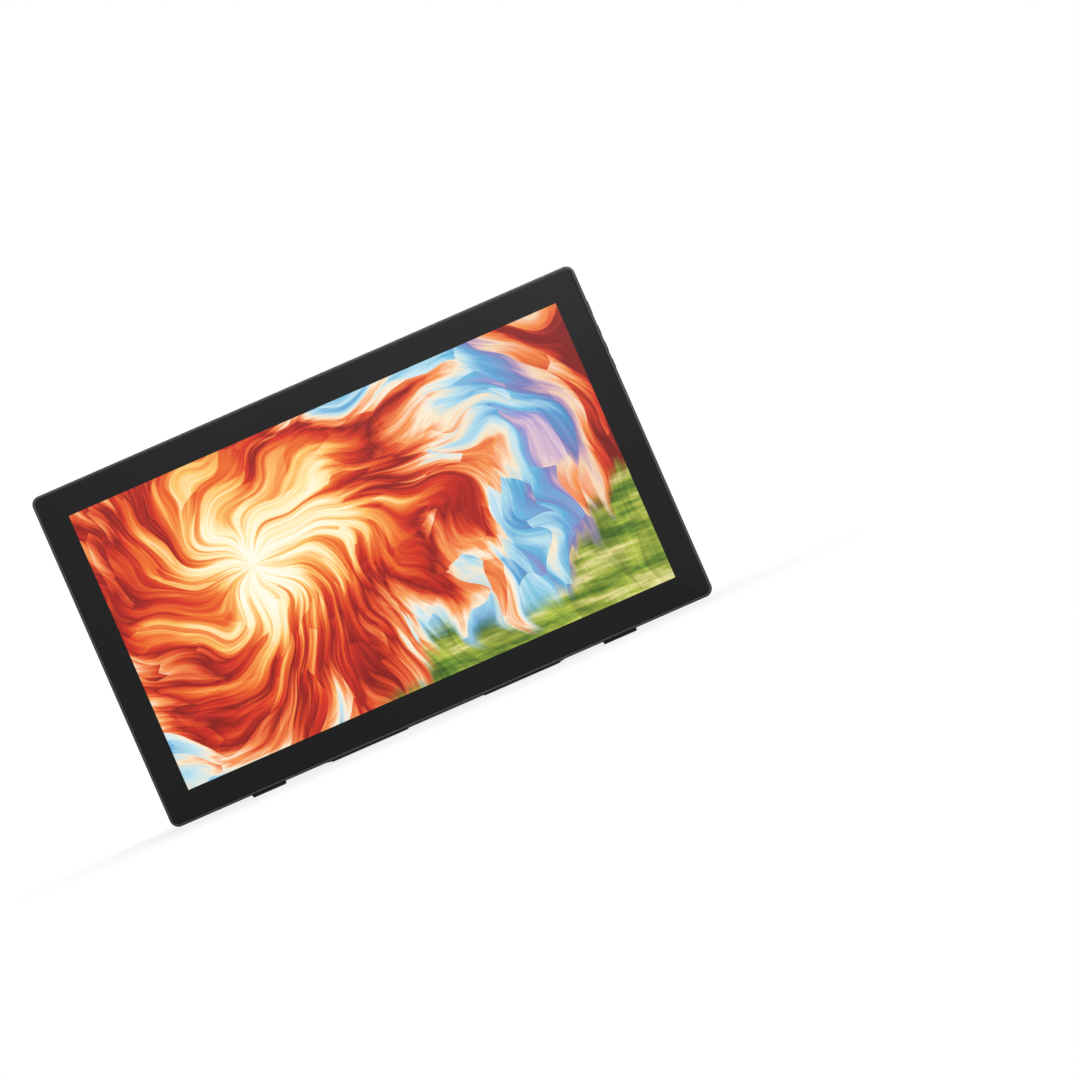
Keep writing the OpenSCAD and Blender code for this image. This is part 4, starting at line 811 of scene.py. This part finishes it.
def leg_frame():
    """A rounded section between the inner and outer edges, carried from eye to eye round the foot."""
    inner = arm_edge(arm_in, spread_r + arm_out - arm_in, bar_high, window_corner)
    outer = arm_edge(arm_out, spread_r, bar_low, bar_corner)
    flip = [-1, 1]
    inner = np.concatenate([inner * flip, inner[-2::-1]])
    outer = np.concatenate([outer * flip, outer[-2::-1]])
    width = np.linalg.norm(outer - inner, axis=1)
    way = (outer - inner) / width[:, None]
    height = (inner[:, 1] + outer[:, 1]) / 2 - hinge_z
    cap = np.sqrt(np.clip(eye_r ** 2 - np.clip(height, 0, None) ** 2, 0.0004, None))
    back = hinge_y + cap
    fall = np.clip(-height / taper, 0, 1)
    front = np.where(height > 0, hinge_y - cap, hinge_y - eye_r + eye_r * fall)
    deep = back - front
    radius = np.minimum(arm_soft, 0.45 * deep)[:, None]
    corner = np.repeat(np.arange(4), 6)
    angle = np.tile(np.linspace(0, math.pi / 2, 6), 4) + corner * math.pi / 2
    sideways, outward = np.array([1, -1, -1, 1])[corner], np.array([1, 1, -1, -1])[corner]
    a = sideways * (width[:, None] / 2 - radius) + radius * np.cos(angle)
    b = outward * (deep[:, None] / 2 - radius) + radius * np.sin(angle)
    middle = (inner + outer) / 2
    x = middle[:, :1] + way[:, :1] * a
    z = middle[:, 1:] + way[:, 1:] * a
    y = ((front + back) / 2)[:, None] + b
    return skin(np.stack([x, y, z], -1))


def rounded_loop(corners, radii, steps=6):
    """A polygon whose corners are replaced by quadratic arcs that start and end a radius away."""
    corners = np.array(corners, float)
    reach = np.array(radii, float)[:, None]
    before = np.roll(corners, 1, 0) - corners
    after = np.roll(corners, -1, 0) - corners
    start = corners + before / np.linalg.norm(before, axis=1)[:, None] * reach
    stop = corners + after / np.linalg.norm(after, axis=1)[:, None] * reach
    t = np.linspace(0, 1, steps)[None, :, None]
    arcs = (1 - t) ** 2 * start[:, None] + 2 * t * (1 - t) * corners[:, None] + t ** 2 * stop[:, None]
    return arcs.reshape(-1, 2)


def crossbar():
    """The crossbar's section in y and z, ridge and recessed lip, carried straight from arm to arm."""
    back, lip_back, lip_front = hinge_y + eye_r - bar_sink, hinge_y + lip_out, hinge_y - lip_in
    loop = rounded_loop([(hinge_y, window_top), (back, window_top), (back, ridge_z), (lip_back, ridge_z),
                         (lip_back, lip_top), (lip_front, lip_top), (lip_front, ridge_z)], bar_edges)
    far = arm_in + bar_bury
    return skin(np.stack([np.insert(loop, 0, x, axis=1) for x in (-far, -40, 0, 40, far)]))


def powder_coat(name, dark, light):
    """Powder coat on a casting: a fine orange-peel skin over slow clouds of tone and gloss."""
    f = paint(name, Specular_IOR_Level=0.14)
    at = f.place()
    peel = f.noise(at, 900.0, 2.0, 0.55)
    cloud = f.noise(at, 9.0, 3.0)
    f.give(Base_Color=f.mix(cloud * 0.6 + peel * 0.4, tint(dark), tint(light)),
           Roughness=0.4 + cloud * 0.08 + peel * 0.05,
           Normal=f.bump(peel, 0.00008, 0.4))
    return f


leg_coat = powder_coat("leg_powder", "242425", "2C2C2D")
make("leg_casting", "leg", ["stand_leg"], opened([leg_frame(), crossbar()]), leg_coat, 50)


# Hinge shaft, spacers, caps and pads: ground steel shaft, black washers beside the arms, pressed-in end caps
# and two rubber strips let into the foot bar.

cap_radius = np.array([8.0, 8.0, 7.7, 7.2, 6.0, 4.0, 2.0, 0.4])
cap_rise = np.array([-1.0, 0.0, 0.22, 0.34, 0.42, 0.48, 0.52, 0.54])


def turned_about_hinge(x, radius):
    """Rings about the hinge's axis, each with its own place along it and its own radius, as a grid's rows."""
    turn = np.linspace(0, 2 * math.pi, 48, endpoint=False)
    return np.stack(np.broadcast_arrays(x[:, None], hinge_y + radius[:, None] * np.cos(turn),
                                        hinge_z + radius[:, None] * np.sin(turn)), -1)


def end_cap(side):
    """A shallow turned cap: rings of falling radius that rise to a low dome over the arm's outer face."""
    return skin(turned_about_hinge(side * (arm_out + cap_rise), cap_radius))


make("hinge_caps", "leg", ["shaft_caps"], opened([end_cap(-1), end_cap(1)]),
     moulded("cap_plastic", "202021", "2A2A2B", 0.4, 0.0004))
dress(brushed("ground_steel", "9A9C9E", "BABCBE", 0.25, "x"), "hinge_shaft")
dress(moulded("washer_black", "121212", "1A1A1A", 0.5, 0.0004), "shaft_spacers")
dress(rubber, "leg_pads")


# Release lever: one moulding that turns on the shaft inside the barrel. Its tongue slopes through the notch,
# bends at a shallow valley and widens to a paddle with a thumb dimple; pressing it frees the lock spring.

blade_low, buried_y = 194.0, 49.6
root_z, root_y, root_t = 203.7, 53.5, 9.0
valley_z, valley_y = 248.7, 44.5
paddle_r, paddle_t = 222.02, 4.5
tongue_half, neck_half, neck_bow = 14.5, 13.0, 138.3
tip_z, tip_run, tip_r, tip_corner, blade_soft = 330.2, 6.0, 86.0, 3.2, 0.6
dimple_z, dimple_long, dimple_high, dimple_deep, dimple_curve = 312.4, 21.8, 9.4, 3.4, 0.4
hub_half, hub_r, hub_bore = 13.0, 9.05, 5.1
finger_size, finger_place, finger_soft, finger_far = (2.8, 4.0), (-2.4, 12.0), 0.4, 17.7


def lever_blade():
    """Stations along the lever, each a rounded section of its own width and thickness. The dimple is pressed
    in below an ellipse: a lower wall that steepens outwards meets a straight upper wall in a crease."""
    paddle_z = tip_z - tip_run - 0.2
    z = np.concatenate([np.linspace(blade_low, root_z - 0.1, 4), np.linspace(root_z, valley_z - 0.6, 24),
                        valley_z + np.array([-0.3, -0.05, 0.05, 0.3]),
                        np.linspace(valley_z + 0.8, paddle_z, 100),
                        tip_z - tip_run * np.cos(np.linspace(0.1, math.pi / 2, 22))])
    rise = np.clip(z - valley_z, 0, None)
    along = (z - root_z) / (valley_z - root_z)
    slope = root_y + (valley_y - root_y) * along
    face = np.where(z < valley_z, slope, valley_y + paddle_r - np.sqrt(paddle_r ** 2 - rise ** 2))
    face = np.where(z < root_z, buried_y, face)
    half = np.where(z < valley_z, tongue_half, neck_half + neck_bow - np.sqrt(neck_bow ** 2 - rise ** 2))
    to_tip = np.clip(tip_corner - (tip_z - z), 0, tip_corner)
    half = half - tip_corner + np.sqrt(np.clip(tip_corner ** 2 - to_tip ** 2, 0, None))
    thick = np.where(z < valley_z, root_t + (paddle_t - root_t) * np.clip(along, 0, 1), paddle_t)

    across = np.sin(np.linspace(-1, 1, 71) * math.pi / 2)
    x = across * half[:, None]
    side_cut = np.clip(blade_soft - half[:, None] + np.abs(x), 0, blade_soft)
    end_cut = np.clip(blade_soft - (tip_z - z)[:, None], 0, blade_soft)
    cut = blade_soft - np.sqrt(blade_soft ** 2 - np.maximum(side_cut, end_cut) ** 2)
    fan = (rise / (tip_z - valley_z)) ** 2
    bowed = z[:, None] - (tip_r - np.sqrt(tip_r ** 2 - x ** 2)) * fan[:, None]
    long = np.sqrt(np.clip(1 - (x / dimple_long) ** 2, 0, 1))
    off = np.abs(bowed - dimple_z) / dimple_high
    lower_wall = long ** 2 - off * (dimple_curve * off + (1 - dimple_curve) * long)
    scoop = np.where(bowed < dimple_z, lower_wall, long * (long - off))
    press = dimple_deep * np.where(off < long, scoop, 0)
    upper = np.stack([x, face[:, None] - cut - press, bowed], -1)
    lower = np.stack([x, (face - thick)[:, None] + cut, bowed], -1)
    grid = np.concatenate([upper, lower[:, ::-1]], 1)
    edge = (grid[-1:] + grid[-1:, ::-1]) / 2
    return skin(np.concatenate([grid, edge]), last=False)


def lever_hub():
    """A plain tube round the shaft with softened ends; its section is carried once round the shaft."""
    end = np.array([0, 0, 0.4, 1])
    wall = np.array([hub_bore, hub_r - 0.65, hub_r - 0.25, hub_r])
    x = np.concatenate([end - hub_half, (hub_half - end)[::-1], [-hub_half]])
    radius = np.concatenate([wall, wall[::-1], [hub_bore]])
    return skin(turned_about_hinge(x, radius), first=False, last=False)


def lever_finger():
    """A small bar beside the hub that comes up to the lock spring's end when the lever is pressed."""
    ring = outline(*finger_size, finger_soft, 3) + finger_place + [hinge_y, hinge_z]
    return skin(np.stack([np.insert(ring, 0, x, axis=1) for x in (0.0, finger_far)]))


lever_finish = moulded("lever_satin", "262627", "2F2F30", 0.41, 0.0006, 0.14)
make("lever_moulding", "lever", ["release_lever"],
     [lever_blade(), lever_hub(), lever_finger()], lever_finish, 45)


# Buttons: power and three keys on the right edge, moulded black caps with a flange behind the wall.
# Each slides in its opening in the cover's side and pushes on a switch on the key board.

key_satin = moulded("key_satin", "18181A", "222224", 0.38, 0.0004)
dress(key_satin, "power_button", "menu_key", "plus_key", "minus_key")


# Studio: pale seamless floor, a large soft lamp from above on either side, a strip behind for sheen alone.
# The camera's long lens is square to the screen and rolled, so that the tablet leans as in the photograph.

floor_half, shade_near, shade_far, shade_share = 40.0, 0.25, 0.5, 0.2
ambient = 0.12
tablet_middle = (np.array([0, 0, middle_z]) + tablet_corner) / 1000


def seen(f):
    """1 for rays that the camera sees straight, mirrored or through glass, 0 for those that carry light."""
    straight = f.node("ShaderNodeLightPath", out="Is Camera Ray")
    mirrored, through = f.beside(straight, "Is Glossy Ray", "Is Transmission Ray")
    return straight.math("MAXIMUM", mirrored).math("MAXIMUM", through)


floor_mesh = bpy.data.meshes.new("floor")
floor_corners = np.insert(outline(2 * floor_half, 2 * floor_half, 0, 1), 2, 0, axis=1)
floor_mesh.from_pydata(floor_corners.tolist(), [], [(0, 1, 2, 3)])
floor = bpy.data.objects.new("floor", floor_mesh)
bpy.context.scene.collection.objects.link(floor)
white_floor = paint("white_floor", Roughness=0.9, Specular_IOR_Level=0.0)
white_floor.give(Base_Color=white_floor.mix(seen(white_floor), tint("6C6C6C"), tint("8C8C8C")))
across, along, _ = white_floor.axes(white_floor.place())
far = (across * across + along * along).math("SQRT").ramp(shade_near, shade_far)
glow = white_floor.node("ShaderNodeEmission", sockets={"Color": (1, 1, 1, 1), "Strength": 1.0})
lit_floor = Value(white_floor, white_floor.shader.outputs[0])
white = seen(white_floor) * (1 - shade_share + far * shade_share)
white_floor.feed(white_floor.output.inputs["Surface"], white_floor.node(
    "ShaderNodeMixShader", sockets={0: white, 1: lit_floor, 2: glow}))
floor_mesh.materials.append(white_floor.owner)

world = bpy.data.worlds.new("studio")
bpy.context.scene.world = world
surround = Finish(world, Color=(1, 1, 1, 1))
surround.give(Strength=ambient + seen(surround) * (1 - ambient))


def soft_box(name, place, width, height, power):
    """A large flat lamp that faces the middle of the tablet, with its place and sizes in metres."""
    light = bpy.data.lights.new(name, "AREA")
    light.shape = "RECTANGLE"
    light.size, light.size_y = width, height
    light.energy = power
    lamp = bpy.data.objects.new(name, light)
    lamp.location = place
    lamp.rotation_mode = "QUATERNION"
    lamp.rotation_quaternion = (Vector(tablet_middle.tolist()) - Vector(place)).to_track_quat("-Z", "Y")
    lamp.visible_camera = False
    bpy.context.scene.collection.objects.link(lamp)
    return lamp


soft_box("front_box", (0.5, -0.9, 1.4), 0.9, 0.9, 60)
soft_box("rear_box", (0.1, 1.0, 1.6), 1.0, 1.0, 40)
soft_box("rear_strip", (0.0, 2.4, 1.45), 1.6, 0.5, 38).visible_diffuse = False

roll = math.radians(23.61)
right = np.array([math.cos(roll), 0, -math.sin(roll)])
upward = np.array([math.sin(roll), 0, math.cos(roll)])
photo_side, photo_scale = 1080, 0.9918
middle_across, middle_down = 372.1, 546.6
aside = right * (photo_side / 2 - middle_across) + upward * (middle_down - photo_side / 2)
distance, sensor_w = 6.0, 36
camera_data = bpy.data.cameras.new("camera")
camera_data.sensor_width = sensor_w
camera_data.lens = sensor_w * distance / (photo_side * photo_scale / 1000)
camera_data.clip_end = 200
camera = bpy.data.objects.new("camera", camera_data)
stand = np.eye(4)
stand[:3, :3] = np.stack([right, upward, [0, -1, 0]], -1)
stand[:3, 3] = tablet_middle + aside * photo_scale / 1000 - [0, distance, 0]
camera.matrix_world = Matrix(stand.tolist())
bpy.context.scene.collection.objects.link(camera)
bpy.context.scene.camera = camera
bpy.context.scene.view_settings.view_transform = "Standard"
